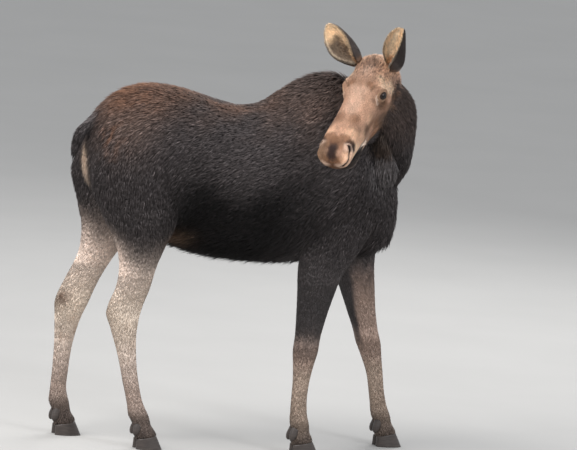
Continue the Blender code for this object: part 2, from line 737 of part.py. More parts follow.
def finish():
    """Centres the model over the origin, and gives each piece its material, shading and collection."""
    moose = bpy.data.collections.new("moose")
    bpy.context.scene.collection.children.link(moose)
    corners = np.array([v.co for made in bpy.data.objects for v in made.data.vertices])
    middle = (corners.min(0) + corners.max(0)) / 2
    for made in bpy.data.objects:
        mesh = made.data
        mesh.transform(Matrix.Translation((-middle[0], -middle[1], 0)))
        mesh.materials.clear()
        mesh.materials.append(material(material_for(made.name)))
        mesh.shade_smooth()
        mesh.set_sharp_from_angle(angle=SHARP_ANGLE)
        for holder in list(made.users_collection):
            holder.objects.unlink(made)
        moose.objects.link(made)


def main():
    for old in list(bpy.data.objects):
        bpy.data.objects.remove(old)
    forms = [trunk(), neck(), *head_forms(), *(leg(name) for name in LEG_LINES)]
    body = hide_of("trunk", forms, BODY_VOXEL, BODY_TRIANGLES)
    for form in forms:
        bpy.data.objects.remove(form)
    nose = head_matrix() @ Vector(INSIDE_NOSE)
    body, head_end = parted(body, "head_end", slab(*HEAD_CUT), nose)
    bpy.data.objects.remove(head_end)
    body, neck_piece = parted(body, "neck", slab(*NECK_CUT), NECK[3][0])
    for name in LEG_LINES:
        body = build_leg(body, name)
    body = hollow_for(body, tail())

    head = build_head()[0]
    flap = bell()
    body = hollow_for(body, flap)
    neck_piece = hollow_for(neck_piece, flap)
    head = hollow_for(head, flap)
    for side in ("left", "right"):
        leaf = ear(side)
        head = hollow_for(head, leaf, filled=True)
        neck_piece = hollow_for(neck_piece, leaf, filled=True)
        head = hollow_for(head, eyeball(side))
    finish()


if __name__ == "__main__":
    main()
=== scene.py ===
"""A cow moose at life size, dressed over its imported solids: one skin, a coat of solid tufts that lies
along it, eyes with lids, cupped ears, horn claws, a pale floor and soft light.

Metres, +Z up. The body tables use the anatomical frame, where the trunk's middle plane is Y = 0 and the
animal's left is +Y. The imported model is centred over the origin, so every finished mesh moves by SHIFT.
"""

import math

import bmesh
import bpy
import numpy as np
from mathutils import Matrix, Vector
from mathutils.kdtree import KDTree


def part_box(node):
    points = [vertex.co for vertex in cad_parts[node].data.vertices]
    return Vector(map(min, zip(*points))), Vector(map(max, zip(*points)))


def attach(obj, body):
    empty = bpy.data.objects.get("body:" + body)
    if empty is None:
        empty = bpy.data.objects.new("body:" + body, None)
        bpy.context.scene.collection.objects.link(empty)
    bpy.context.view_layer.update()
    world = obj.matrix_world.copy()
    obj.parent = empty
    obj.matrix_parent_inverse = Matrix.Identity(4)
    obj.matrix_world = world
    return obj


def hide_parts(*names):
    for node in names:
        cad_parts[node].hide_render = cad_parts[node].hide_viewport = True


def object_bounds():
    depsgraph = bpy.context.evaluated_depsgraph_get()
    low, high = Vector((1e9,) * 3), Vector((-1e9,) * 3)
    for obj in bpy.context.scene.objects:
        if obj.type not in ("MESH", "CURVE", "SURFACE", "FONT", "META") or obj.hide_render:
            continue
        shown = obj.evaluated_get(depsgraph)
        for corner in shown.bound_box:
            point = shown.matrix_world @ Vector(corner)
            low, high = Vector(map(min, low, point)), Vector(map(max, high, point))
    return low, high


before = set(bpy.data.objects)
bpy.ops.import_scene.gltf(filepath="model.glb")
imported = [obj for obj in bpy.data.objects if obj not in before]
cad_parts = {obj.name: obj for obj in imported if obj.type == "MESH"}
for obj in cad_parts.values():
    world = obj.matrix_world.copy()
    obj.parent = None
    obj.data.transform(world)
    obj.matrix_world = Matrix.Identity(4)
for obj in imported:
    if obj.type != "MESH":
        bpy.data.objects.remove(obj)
SOLID_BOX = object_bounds()

# ---------------------------------------------------------------- driving sizes
# Trunk stations from buttock to chest:
# X, back height, belly height, half width, height of the widest line, fullness above, fullness below
TRUNK = [
    (-0.760, 1.370, 1.200, 0.050, 1.290, 2.0, 2.0),
    (-0.735, 1.480, 1.160, 0.120, 1.300, 2.0, 2.0),
    (-0.670, 1.575, 1.110, 0.180, 1.300, 2.0, 2.0),
    (-0.570, 1.638, 1.040, 0.228, 1.300, 2.0, 2.1),
    (-0.470, 1.660, 0.985, 0.246, 1.290, 2.0, 2.2),
    (-0.370, 1.655, 0.940, 0.250, 1.260, 1.9, 2.3),
    (-0.260, 1.628, 0.905, 0.258, 1.210, 1.9, 2.4),
    (-0.140, 1.592, 0.882, 0.275, 1.170, 1.9, 2.4),
    (-0.020, 1.574, 0.872, 0.286, 1.150, 1.9, 2.4),
    (0.080, 1.600, 0.868, 0.286, 1.150, 1.8, 2.4),
    (0.180, 1.668, 0.868, 0.276, 1.150, 1.6, 2.3),
    (0.280, 1.722, 0.872, 0.268, 1.150, 1.5, 2.2),
    (0.380, 1.742, 0.880, 0.264, 1.160, 1.5, 2.1),
    (0.470, 1.722, 0.892, 0.258, 1.170, 1.5, 2.1),
    (0.560, 1.655, 0.912, 0.240, 1.170, 1.6, 2.1),
    (0.640, 1.550, 0.912, 0.202, 1.160, 1.8, 2.1),
    (0.700, 1.410, 0.945, 0.140, 1.140, 2.0, 2.1),
    (0.733, 1.300, 0.975, 0.084, 1.120, 2.0, 2.0),
    (0.746, 1.210, 1.035, 0.034, 1.120, 2.0, 2.0),
]
# Neck stations from the withers to the back of the skull:
# centre, direction of the crest, depth to the crest, depth to the throat, half width
NECK = [
    ((0.340, 0.000, 1.300), (-0.64, 0.00, 0.77), 0.360, 0.330, 0.205),
    ((0.500, -0.012, 1.380), (-0.60, 0.05, 0.78), 0.285, 0.290, 0.188),
    ((0.600, -0.050, 1.475), (-0.42, 0.35, 0.80), 0.198, 0.228, 0.160),
    ((0.632, -0.110, 1.575), (0.00, 0.75, 0.62), 0.142, 0.190, 0.135),
    ((0.592, -0.162, 1.660), (0.35, 0.60, 0.70), 0.100, 0.165, 0.112),
    ((0.528, -0.208, 1.728), (0.52, 0.41, 0.75), 0.090, 0.135, 0.102),
]
# The head's own axes: the poll is the top of the head between the ears.
POLL = np.array([0.514, -0.220, 1.856])
HEAD_HEADING = math.radians(-133.0)   # turned back over the right shoulder
HEAD_DROP = math.radians(44.5)        # the nose hangs this far below level
# Head stations from poll to nose: distance, top, bottom, half width, widest line, fullness above, below
SKULL = [
    (-0.030, -0.035, -0.200, 0.055, -0.100, 2.0, 2.0),
    (0.000, -0.006, -0.245, 0.088, -0.095, 2.0, 2.0),
    (0.060, 0.009, -0.268, 0.099, -0.090, 2.3, 2.1),
    (0.120, 0.015, -0.272, 0.104, -0.085, 2.5, 2.1),
    (0.190, 0.011, -0.260, 0.106, -0.060, 2.6, 1.9),
    (0.245, 0.000, -0.240, 0.087, -0.085, 2.2, 2.0),
    (0.310, -0.010, -0.212, 0.082, -0.075, 2.4, 2.1),
    (0.380, -0.010, -0.182, 0.081, -0.070, 2.6, 2.2),
    (0.440, -0.006, -0.152, 0.083, -0.066, 2.7, 2.1),
    (0.500, -0.006, -0.142, 0.084, -0.064, 2.7, 2.0),
    (0.550, -0.014, -0.137, 0.082, -0.066, 2.7, 1.9),
    (0.583, -0.032, -0.127, 0.073, -0.070, 2.5, 1.9),
    (0.600, -0.064, -0.107, 0.047, -0.082, 2.0, 1.9),
]
JAW = [
    (0.060, -0.130, -0.262, 0.064, -0.190, 2.0, 2.0),
    (0.120, -0.130, -0.286, 0.074, -0.195, 2.0, 2.0),
    (0.180, -0.130, -0.284, 0.072, -0.200, 2.0, 2.0),
    (0.250, -0.130, -0.264, 0.062, -0.195, 2.0, 2.0),
    (0.330, -0.130, -0.238, 0.053, -0.180, 2.0, 2.1),
    (0.400, -0.130, -0.223, 0.048, -0.175, 2.0, 2.2),
    (0.460, -0.138, -0.224, 0.046, -0.180, 2.0, 2.2),
    (0.505, -0.146, -0.212, 0.039, -0.180, 2.0, 2.0),
    (0.532, -0.160, -0.195, 0.020, -0.178, 2.0, 2.0),
]
THROAT = [   # the fold of skin from the jaw to the neck, in the same columns
    (0.020, -0.180, -0.320, 0.058, -0.240, 2.0, 2.0),
    (0.080, -0.180, -0.355, 0.066, -0.250, 2.0, 2.0),
    (0.150, -0.180, -0.370, 0.062, -0.260, 2.0, 2.0),
    (0.220, -0.180, -0.356, 0.054, -0.260, 2.0, 2.0),
    (0.275, -0.180, -0.312, 0.044, -0.240, 2.0, 2.0),
    (0.320, -0.180, -0.262, 0.032, -0.220, 2.0, 2.0),
]
EYE = np.array([0.190, 0.089, -0.050])   # centre of the left eyeball from the poll: forward, left, up
EYE_OPENING = (0.190, 0.105, -0.050)     # middle of the opening between the left lids
EYE_RADIUS = 0.0205
EAR_LENGTH = 0.224
EAR_WALL = 0.0055
EAR_OUTLINE = [   # part of the length, part of the full width, half the roll in degrees
    (0.00, 0.40, 150),
    (0.12, 0.66, 138),
    (0.28, 0.88, 116),
    (0.50, 1.00, 92),
    (0.70, 0.90, 78),
    (0.86, 0.64, 66),
    (0.96, 0.34, 56),
    (1.00, 0.12, 50),
]
# In head axes (forward, left, up): where each ear starts, where it points, which way its cup opens; width
EARS = {
    "left": ((0.029, 0.094, -0.050), (-0.335, 0.275, 0.90), (0.64, -0.63, 0.43), 0.118),
    "right": ((0.035, -0.084, -0.040), (-0.42, -0.72, 0.55), (0.81, -0.03, 0.58), 0.118),
}
# Hind leg slices: height, half length, centre from the middle plane, half width
HIND_FORM = [
    (1.500, 0.090, 0.085, 0.050),
    (1.400, 0.160, 0.108, 0.082),
    (1.310, 0.197, 0.126, 0.102),
    (1.220, 0.215, 0.142, 0.114),
    (1.080, 0.191, 0.160, 0.112),
    (0.960, 0.132, 0.172, 0.092),
    (0.840, 0.093, 0.176, 0.072),
    (0.730, 0.085, 0.172, 0.057),
    (0.665, 0.086, 0.165, 0.051),
    (0.620, 0.085, 0.160, 0.051),
    (0.550, 0.068, 0.158, 0.050),
    (0.440, 0.050, 0.158, 0.040),
    (0.300, 0.042, 0.160, 0.034),
    (0.200, 0.043, 0.160, 0.036),
    (0.155, 0.050, 0.160, 0.044),
    (0.110, 0.046, 0.160, 0.042),
    (0.070, 0.054, 0.160, 0.046),
    (0.040, 0.050, 0.160, 0.044),
]
FORE_FORM = [
    (1.300, 0.130, 0.130, 0.070),
    (1.120, 0.160, 0.160, 0.088),
    (1.000, 0.150, 0.170, 0.088),
    (0.920, 0.135, 0.174, 0.084),
    (0.840, 0.112, 0.174, 0.077),
    (0.740, 0.092, 0.172, 0.067),
    (0.620, 0.073, 0.168, 0.056),
    (0.540, 0.064, 0.165, 0.052),
    (0.480, 0.063, 0.163, 0.053),
    (0.420, 0.054, 0.163, 0.046),
    (0.340, 0.044, 0.163, 0.037),
    (0.240, 0.041, 0.163, 0.035),
    (0.180, 0.044, 0.163, 0.038),
    (0.150, 0.048, 0.163, 0.042),
    (0.110, 0.045, 0.163, 0.041),
    (0.070, 0.053, 0.163, 0.046),
    (0.040, 0.049, 0.163, 0.044),
]
# Where each leg's middle line passes: height, X
LEG_LINES = {
    "hind_leg_right": [
        (1.500, -0.520), (1.400, -0.535), (1.310, -0.545), (1.220, -0.550), (1.080, -0.521),
        (0.960, -0.508), (0.840, -0.512), (0.730, -0.527), (0.620, -0.557), (0.550, -0.549),
        (0.440, -0.526), (0.300, -0.494), (0.155, -0.446), (0.070, -0.405),
    ],
    "hind_leg_left": [
        (1.500, -0.520), (1.400, -0.540), (1.310, -0.555), (1.220, -0.556), (1.080, -0.535),
        (0.960, -0.558), (0.840, -0.600), (0.730, -0.655), (0.620, -0.704), (0.550, -0.718),
        (0.440, -0.728), (0.300, -0.733), (0.155, -0.728), (0.070, -0.695),
    ],
    "foreleg_right": [
        (1.300, 0.500), (1.120, 0.460), (1.000, 0.415), (0.840, 0.356), (0.740, 0.342),
        (0.620, 0.330), (0.480, 0.320), (0.340, 0.312), (0.180, 0.314), (0.070, 0.338),
    ],
    "foreleg_left": [
        (1.300, 0.510), (1.120, 0.530), (1.000, 0.565), (0.840, 0.615), (0.740, 0.645),
        (0.620, 0.678), (0.480, 0.722), (0.340, 0.765), (0.180, 0.800), (0.070, 0.840),
    ],
}
TAIL = [   # centre X, Z, half depth, half width
    (-0.655, 1.520, 0.024, 0.030),
    (-0.690, 1.500, 0.028, 0.035),
    (-0.724, 1.474, 0.029, 0.037),
    (-0.764, 1.425, 0.029, 0.038),
    (-0.790, 1.370, 0.027, 0.037),
    (-0.798, 1.332, 0.021, 0.030),
    (-0.798, 1.312, 0.009, 0.014),
]
BELL = [   # Z, X, half width, half depth
    (1.500, 0.562, 0.046, 0.040),
    (1.455, 0.575, 0.052, 0.044),
    (1.400, 0.596, 0.047, 0.040),
    (1.340, 0.610, 0.055, 0.044),
    (1.288, 0.612, 0.044, 0.035),
    (1.252, 0.607, 0.020, 0.016),
]
BELL_Y = -0.215
# Muscle and bone that show under the coat: centre, reach along X, Y, Z, height of the swelling
BODY_FORMS = [
    ((-0.500, 0.235, 1.520), (0.070, 0.060, 0.060), 0.010),
    ((-0.640, 0.190, 1.330), (0.130, 0.120, 0.160), 0.016),
    ((-0.360, 0.250, 1.080), (0.070, 0.080, 0.110), 0.018),
    ((-0.330, 0.270, 1.360), (0.090, 0.090, 0.120), -0.020),
    ((-0.260, 0.230, 1.000), (0.090, 0.080, 0.090), -0.010),
    ((0.460, 0.250, 1.240), (0.110, 0.090, 0.180), 0.014),
    ((0.300, 0.260, 1.060), (0.100, 0.080, 0.110), 0.010),
    ((0.180, 0.270, 1.260), (0.060, 0.090, 0.170), -0.010),
]
# Claws and dewclaws of one foot, from the middle of the pastern's end
FOOT_HEIGHT = 0.070
CORONET = 0.054
CORONET_SLOPE = 0.20
SOLE_TOE = 0.080
SOLE_HEEL = -0.046
TOP_TOE = 0.048
TOP_HEEL = -0.045
CLAW_WIDTH = 0.048
CLAW_TAPER = 0.12
CLEFT = 0.006
DEWCLAW = (-0.044, 0.021, 0.098)
DEWCLAW_RADIUS = 0.0165
DEWCLAW_LENGTH = 0.036

# How deep the coat is over the skin on each form
TRUNK_COAT = 0.014
NECK_COAT = 0.014
FACE_COAT = 0.0035
JAW_COAT = 0.005
THROAT_COAT = 0.010
TAIL_COAT = 0.010
BELL_COAT = 0.012
LEG_COAT = [(0.04, 0.004), (0.60, 0.005), (0.90, 0.009), (1.20, 0.015), (1.50, 0.016)]   # height, depth

VOXEL = 0.0045            # grain of the skin before it is thinned out
SKIN_TRIANGLES = 125000
RING_POINTS = 48
rng = np.random.default_rng(7)


# ---------------------------------------------------------------- small maths
def unit(v):
    """Each row divided by its length."""
    v = np.asarray(v, float)
    return v / np.maximum(np.linalg.norm(v, axis=-1, keepdims=True), 1e-12)


def smooth(low, high, x):
    """0 below low, 1 above high and the cubic 3t^2 - 2t^3 between; runs backwards where high < low."""
    t = np.clip((np.asarray(x, float) - low) / (high - low), 0, 1)
    return t * t * (3 - 2 * t)


def blob(points, centre, reach):
    """A bell curve round centre: exp(-d^2), with d measured in reaches along each axis."""
    return np.exp(-(((points - np.asarray(centre)) / np.asarray(reach)) ** 2).sum(-1))


def mix(a, b, t):
    """a where t is 0 and b where t is 1, for rows of colours."""
    t = np.asarray(t)[..., None]
    return a * (1 - t) + np.asarray(b) * t


def paint(red, green, blue):
    """A linear colour from its shares of 255 as a screen shows it."""
    c = np.array([red, green, blue]) / 255
    return np.where(c <= 0.04045, c / 12.92, ((c + 0.055) / 1.055) ** 2.4)


WAVES = 5   # sines in each octave of a ripple


def ripple(points, size, seed, octaves=3):
    """Smooth noise from -1 to 1: sums of sines along seeded random directions, halving in size."""
    draw = np.random.default_rng(seed)
    total = np.zeros(len(points))
    weight = 1.0
    for _ in range(octaves):
        for _ in range(WAVES):
            way = unit(draw.normal(size=3)) * (2 * math.pi / size) * draw.uniform(0.6, 1.4)
            total += weight * np.sin(points @ way + draw.uniform(0, 2 * math.pi)) / 2.6
        size, weight = size / 2, weight * 0.6
    return np.clip(total / 1.9, -1, 1)


def interpolate(table, count):
    """Rows of a station table at even steps of its first column, along a Hermite curve through them."""
    rows = np.array(table, float)
    t, values = rows[:, 0], rows
    slopes = np.gradient(values, t, axis=0)
    at = np.linspace(t[0], t[-1], count)
    order = 1 if t[-1] > t[0] else -1
    seg = np.clip(np.searchsorted(order * t, order * at, "right") - 1, 0, len(t) - 2)
    h = t[seg + 1] - t[seg]
    s = ((at - t[seg]) / h)[:, None]
    h = h[:, None]
    return (
        values[seg] * (2 * s**3 - 3 * s**2 + 1)
        + slopes[seg] * h * (s**3 - 2 * s**2 + s)
        + values[seg + 1] * (3 * s**2 - 2 * s**3)
        + slopes[seg + 1] * h * (s**3 - s**2)
    )


def head_axes():
    """Rows: forward to the nose, the animal's left, up to the top of the head, in body axes."""
    turn = Matrix.Rotation(HEAD_HEADING, 3, "Z") @ Matrix.Rotation(HEAD_DROP, 3, "Y")
    return np.array(turn).T


HEAD = head_axes()


def from_head(local):
    """Body coordinates of points given in head axes from the poll."""
    return np.asarray(local) @ HEAD + POLL


def to_head(points):
    """Head coordinates (forward, left, up) of points given in body coordinates."""
    return (points - POLL) @ HEAD.T


eye_low, eye_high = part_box("eye_left")
SHIFT = (np.array(eye_low) + np.array(eye_high)) / 2 - from_head(EYE)


# ---------------------------------------------------------------- meshes from arrays
def make(name, points, faces, material=None, shift=True):
    """A smooth-shaded mesh object from points (n, 3) and a list of face arrays (m, corners)."""
    mesh = bpy.data.meshes.new(name)
    points = np.asarray(points, np.float32) + (SHIFT.astype(np.float32) if shift else 0)
    mesh.vertices.add(len(points))
    mesh.vertices.foreach_set("co", points.ravel())
    corners = np.concatenate([np.asarray(part, np.int32).ravel() for part in faces])
    sizes = np.concatenate([np.full(len(part), np.shape(part)[1], np.int32) for part in faces])
    mesh.loops.add(len(corners))
    mesh.loops.foreach_set("vertex_index", corners)
    mesh.polygons.add(len(sizes))
    starts = np.concatenate([[0], np.cumsum(sizes)[:-1]]).astype(np.int32)
    mesh.polygons.foreach_set("loop_start", starts)
    mesh.update(calc_edges=True)
    mesh.validate()
    mesh.shade_smooth()
    made = bpy.data.objects.new(name, mesh)
    bpy.context.scene.collection.objects.link(made)
    if material:
        mesh.materials.append(material)
    return made


def tube_faces(count, points):
    """Quads round a tube of count rings, whose faces point out where the rings turn anticlockwise as
    seen from the far end."""
    i, k = np.meshgrid(np.arange(count - 1), np.arange(points), indexing="ij")
    n = (k + 1) % points
    a, b = i * points, (i + 1) * points
    return np.stack([a + k, a + n, b + n, b + k], -1).reshape(-1, 4)


def closed_tube(rings):
    """Points and faces of a tube with a fan of triangles over each end. The faces are turned to point
    out, by the sign of the volume that they hold."""
    rings = np.asarray(rings, float)
    count, around = rings.shape[:2]
    points = np.concatenate([rings.reshape(-1, 3), [rings[0].mean(0)], [rings[-1].mean(0)]])
    k = np.arange(around)
    n = (k + 1) % around
    first, last, end = count * around, count * around + 1, (count - 1) * around
    quads = tube_faces(count, around)
    fans = np.concatenate([
        np.stack([np.full(around, first), n, k], -1),
        np.stack([np.full(around, last), end + k, end + n], -1),
    ])
    corner = points[quads]
    volume = np.einsum("ij,ij->", corner[:, 0], np.cross(corner[:, 1], corner[:, 2]))
    volume += np.einsum("ij,ij->", corner[:, 0], np.cross(corner[:, 2], corner[:, 3]))
    corner = points[fans]
    volume += np.einsum("ij,ij->", corner[:, 0], np.cross(corner[:, 1], corner[:, 2]))
    if volume < 0:
        quads, fans = quads[:, ::-1], fans[:, ::-1]
    return points, [quads, fans]


def set_colour(made, name, colours):
    """A colour for each vertex, as a float attribute."""
    rgba = np.ones((len(colours), 4), np.float32)
    rgba[:, :3] = colours
    made.data.attributes.new(name, "FLOAT_COLOR", "POINT").data.foreach_set("color", rgba.ravel())


# ---------------------------------------------------------------- body forms
def ring(centre, side, up, half_width, above, below, full_above=2.0, full_below=2.0):
    """A super-ellipse round centre: side * w * sgn(c)|c|^(2/n) + up * h * sgn(s)|s|^(2/n)."""
    angle = np.linspace(0, 2 * math.pi, RING_POINTS, endpoint=False)
    c, s = np.cos(angle), np.sin(angle)
    power = np.where(s >= 0, 2 / full_above, 2 / full_below)
    across = half_width * np.sign(c) * np.abs(c) ** power
    height = np.where(s >= 0, above, below) * np.sign(s) * np.abs(s) ** power
    return np.asarray(centre) + np.outer(across, side) + np.outer(height, up)


class Form:
    """One body part: rings of points, and for each ring its centre, side and up axes and the way that
    the hair runs there."""

    def __init__(self, rings, centres, sides, ups, lie):
        """Arrays with one row for each ring; side and up axes become unit vectors."""
        self.rings = np.array(rings)
        self.centres = np.array(centres, float)
        self.sides = unit(sides)
        self.ups = unit(ups)
        self.lie = np.array(lie, float)


def trunk_form():
    """Rings across the trunk at the stations of TRUNK, each drawn in by the coat's depth; the hair runs
    back and, more and more toward the rump and the brisket, down."""
    rows = interpolate(TRUNK, 130)
    d = TRUNK_COAT
    side, up = (0, 1, 0), (0, 0, 1)
    rings, centres = [], []
    for x, top, bottom, half, wide, above, below in rows:
        x *= 1 - d / 0.75
        centres.append((x, 0, wide))
        rings.append(ring(centres[-1], side, up, max(half - d, 0.01), top - d - wide, wide - bottom - d,
                          above, below))
    count = len(rows)
    back = np.linspace(0, 1, count)
    drop = 0.45 + 0.35 * smooth(0.62, 0.80, back) + 0.45 * smooth(0.14, 0.0, back)
    lie = np.stack([-np.ones(count), np.zeros(count), -drop], -1)
    return Form(rings, centres, [side] * count, [up] * count, lie)


def neck_form():
    """Rings square to the neck's middle line, which passes smoothly through the stations of NECK; the
    hair runs from the head to the withers and down."""
    centres = np.array([station[0] for station in NECK])
    along = np.concatenate([[0], np.cumsum(np.linalg.norm(np.diff(centres, axis=0), axis=1))])
    table = [
        (s, *centre, *crest, to_crest, to_throat, half)
        for s, (centre, crest, to_crest, to_throat, half) in zip(along, NECK)
    ]
    rows = interpolate(table, 50)
    line = rows[:, 1:4]
    tangents = unit(np.gradient(line, axis=0))
    crests = rows[:, 4:7] - (rows[:, 4:7] * tangents).sum(1)[:, None] * tangents
    crests = unit(crests)
    sides = np.cross(crests, tangents)
    d = NECK_COAT
    rings = [
        ring(centre, side, crest, row[9] - d, row[7] - d, row[8] - d, 1.8, 1.9)
        for row, centre, side, crest in zip(rows, line, sides, crests)
    ]
    return Form(rings, line, sides, crests, -tangents + (0, 0, -0.55))


def head_form(table, depth, droop):
    """A form in head axes; its hair runs back from the nose and down by droop."""
    rows = interpolate(table, round((table[-1][0] - table[0][0]) / 0.008))
    middle, half_length = (table[0][0] + table[-1][0]) / 2, (table[-1][0] - table[0][0]) / 2
    rings, centres = [], []
    for x, top, bottom, half, wide, above, below in rows:
        x = middle + (x - middle) * (1 - depth / half_length)
        local = ring((x, 0, wide), (0, 1, 0), (0, 0, 1), max(half - depth, 0.005),
                     top - wide - depth, wide - bottom - depth, above, below)
        rings.append(from_head(local))
        centres.append(from_head((x, 0, wide)))
    count = len(rows)
    lie = np.tile(np.array([-1.0, 0, -droop]) @ HEAD, (count, 1))
    return Form(rings, centres, [HEAD[1]] * count, [HEAD[2]] * count, lie)


def leg_x(name, height):
    """X of a leg's middle line at a height."""
    line = interpolate(LEG_LINES[name], 60)
    return np.interp(height, line[::-1, 0], line[::-1, 1])


def leg_coat(height):
    """Depth of the coat on a leg at a height."""
    table = np.array(LEG_COAT)
    return np.interp(height, table[:, 0], table[:, 1])


def leg_form(name):
    """Level rings down a leg, centred on its middle line at each height; the hair runs down the leg."""
    table = HIND_FORM if name.startswith("hind") else FORE_FORM
    side = 1 if name.endswith("left") else -1
    rows = interpolate([(*row, float(leg_x(name, row[0]))) for row in table], 130)
    rings, centres = [], []
    for z, half_length, middle, half_width, x in rows:
        d = float(leg_coat(z))
        centres.append((x, side * middle, z))
        rings.append(ring(centres[-1], (0, 1, 0), (1, 0, 0), half_width - d, half_length - d,
                          half_length - d, 2.2, 2.2))
    count = len(rows)
    run = unit(np.gradient(np.array(centres), axis=0))
    return Form(rings, centres, [(0, 1, 0)] * count, [(1, 0, 0)] * count, run * 1.4)


def tail_form():
    """Rings square to the tail's middle line, from root to tip; the hair runs to the tip."""
    rows = interpolate([(i, *row) for i, row in enumerate(TAIL)], 40)
    along = unit(np.gradient(rows[:, 1:3], axis=0))
    rings, centres, ups = [], [], []
    for (_, x, z, half_depth, half_width), (run, rise) in zip(rows, along):
        back = np.array((rise, 0, -run))
        centres.append((x, 0, z))
        ups.append(back)
        depth, width = max(half_depth - TAIL_COAT, 0.006), max(half_width - TAIL_COAT, 0.008)
        rings.append(ring((x, 0, z), (0, 1, 0), back, width, depth, depth, 2.4, 2.4))
    lie = np.stack([along[:, 0], np.zeros(len(rows)), along[:, 1]], -1)
    return Form(rings[:-4], centres[:-4], [(0, 1, 0)] * 36, ups[:-4], lie[:-4] * 2)


def bell_form():
    """Level rings down the bell, the flap of skin under the throat; the hair hangs."""
    rows = interpolate(BELL, 40)
    side, up = (0.95, -0.31, 0), (0.31, 0.95, 0)
    rings, centres = [], []
    for z, x, half_width, half_depth in rows:
        centres.append((x, BELL_Y, z))
        rings.append(ring(centres[-1], side, up, max(half_width - BELL_COAT, 0.006),
                          max(half_depth - BELL_COAT, 0.006), max(half_depth - BELL_COAT, 0.006)))
    return Form(rings[:-5], centres[:-5], [side] * 35, [up] * 35, [(0, 0, -2.0)] * 35)


FORMS = {
    "trunk": trunk_form(),
    "neck": neck_form(),
    "skull": head_form(SKULL, FACE_COAT, 0.10),
    "jaw": head_form(JAW, JAW_COAT, 0.25),
    "throat": head_form(THROAT, THROAT_COAT, 0.75),
}
for leg_name in LEG_LINES:
    FORMS[leg_name] = leg_form(leg_name)
FORMS["tail"] = tail_form()
FORMS["bell"] = bell_form()
FORM_NAMES = list(FORMS)


# ---------------------------------------------------------------- skin
def evaluated(made):
    """The object's mesh with its modifiers applied, as a new mesh; the object is removed."""
    bpy.context.view_layer.update()
    graph = bpy.context.evaluated_depsgraph_get()
    mesh = bpy.data.meshes.new_from_object(made.evaluated_get(graph))
    bpy.data.objects.remove(made)
    return mesh


def points_of(mesh):
    """(n, 3) vertex places and normals."""
    points = np.empty(len(mesh.vertices) * 3, np.float32)
    normals = np.empty(len(mesh.vertices) * 3, np.float32)
    mesh.vertices.foreach_get("co", points)
    mesh.vertex_normals.foreach_get("vector", normals)
    return points.reshape(-1, 3).astype(float), normals.reshape(-1, 3).astype(float)


def edges_of(mesh):
    """(n, 2) numbers of the two vertices of each edge."""
    edges = np.empty(len(mesh.edges) * 2, np.int32)
    mesh.edges.foreach_get("vertices", edges)
    return edges.reshape(-1, 2)


def spread(values, edges, rounds, weight=0.5):
    """Evens out values over a mesh: each round moves every vertex's values part of the way to the
    mean of its neighbours'."""
    values = np.array(values, float)
    flat = values.reshape(len(values), -1)
    count = len(flat)
    a, b = edges[:, 0], edges[:, 1]
    degree = np.maximum(np.bincount(a, minlength=count) + np.bincount(b, minlength=count), 1)
    for _ in range(rounds):
        for column in range(flat.shape[1]):
            v = flat[:, column]
            total = np.bincount(a, v[b], count) + np.bincount(b, v[a], count)
            flat[:, column] = v + weight * (total / degree - v)
    return flat.reshape(values.shape)


def swelling(points, forms):
    """Height of the muscle forms at each point: a sum of bell curves on both sides of the body."""
    push = np.zeros(len(points))
    for centre, reach, height in forms:
        for side in (1, -1):
            push += height * blob(points, np.array(centre) * (1, side, 1), reach)
    return push


def distance_to_line(points, line):
    """Distance of each point from a run of straight pieces, and how far along it the foot is, 0 to 1."""
    line = np.asarray(line, float)
    best = np.full(len(points), 9.0)
    along = np.zeros(len(points))
    for i, (a, b) in enumerate(zip(line[:-1], line[1:])):
        run = b - a
        t = np.clip(((points - a) @ run) / (run @ run), 0, 1)
        away = np.linalg.norm(points - (a + t[:, None] * run), axis=1)
        nearer = away < best
        best = np.where(nearer, away, best)
        along = np.where(nearer, (i + t) / (len(line) - 1), along)
    return best, along


def curve(points, count):
    """A smooth curve through a few points: the Hermite curve over even steps."""
    return interpolate([(i, *p) for i, p in enumerate(points)], count)[:, 1:]


# Lines of the face in head axes, on its left side
NOSTRIL = curve([
    (0.522, 0.0625, -0.028), (0.5355, 0.0673, -0.0405), (0.546, 0.070, -0.0475), (0.557, 0.0714, -0.0545),
    (0.568, 0.068, -0.064), (0.578, 0.062, -0.0735), (0.591, 0.051, -0.084),
], 30)
LIP_EDGE = curve([
    (0.410, 0.060, -0.136), (0.440, 0.068, -0.132), (0.500, 0.066, -0.124), (0.550, 0.052, -0.124),
    (0.578, 0.025, -0.125), (0.582, 0.0, -0.125),
], 24)
MOUTH = curve([
    (0.394, 0.045, -0.180), (0.418, 0.041, -0.1777), (0.441, 0.0365, -0.1745), (0.462, 0.036, -0.169),
    (0.500, 0.032, -0.163), (0.525, 0.018, -0.162),
], 24)
LOWER_LIP = curve([
    (0.374, 0.046, -0.172), (0.392, 0.047, -0.184), (0.440, 0.045, -0.187), (0.490, 0.040, -0.183),
    (0.527, 0.018, -0.178),
], 20)
BROW_CREASE = curve([
    (0.216, 0.060, -0.012), (0.203, 0.063, -0.004), (0.189, 0.071, -0.003), (0.179, 0.085, -0.007),
    (0.166, 0.096, -0.022),
], 20)
TEAR_LINE = curve([
    (0.221, 0.078, -0.028), (0.227, 0.080, -0.040), (0.234, 0.082, -0.055), (0.236, 0.084, -0.068),
], 12)
LOWER_CREASE = curve([
    (0.222, 0.085, -0.044), (0.229, 0.086, -0.062), (0.228, 0.087, -0.080), (0.215, 0.097, -0.096),
], 16)
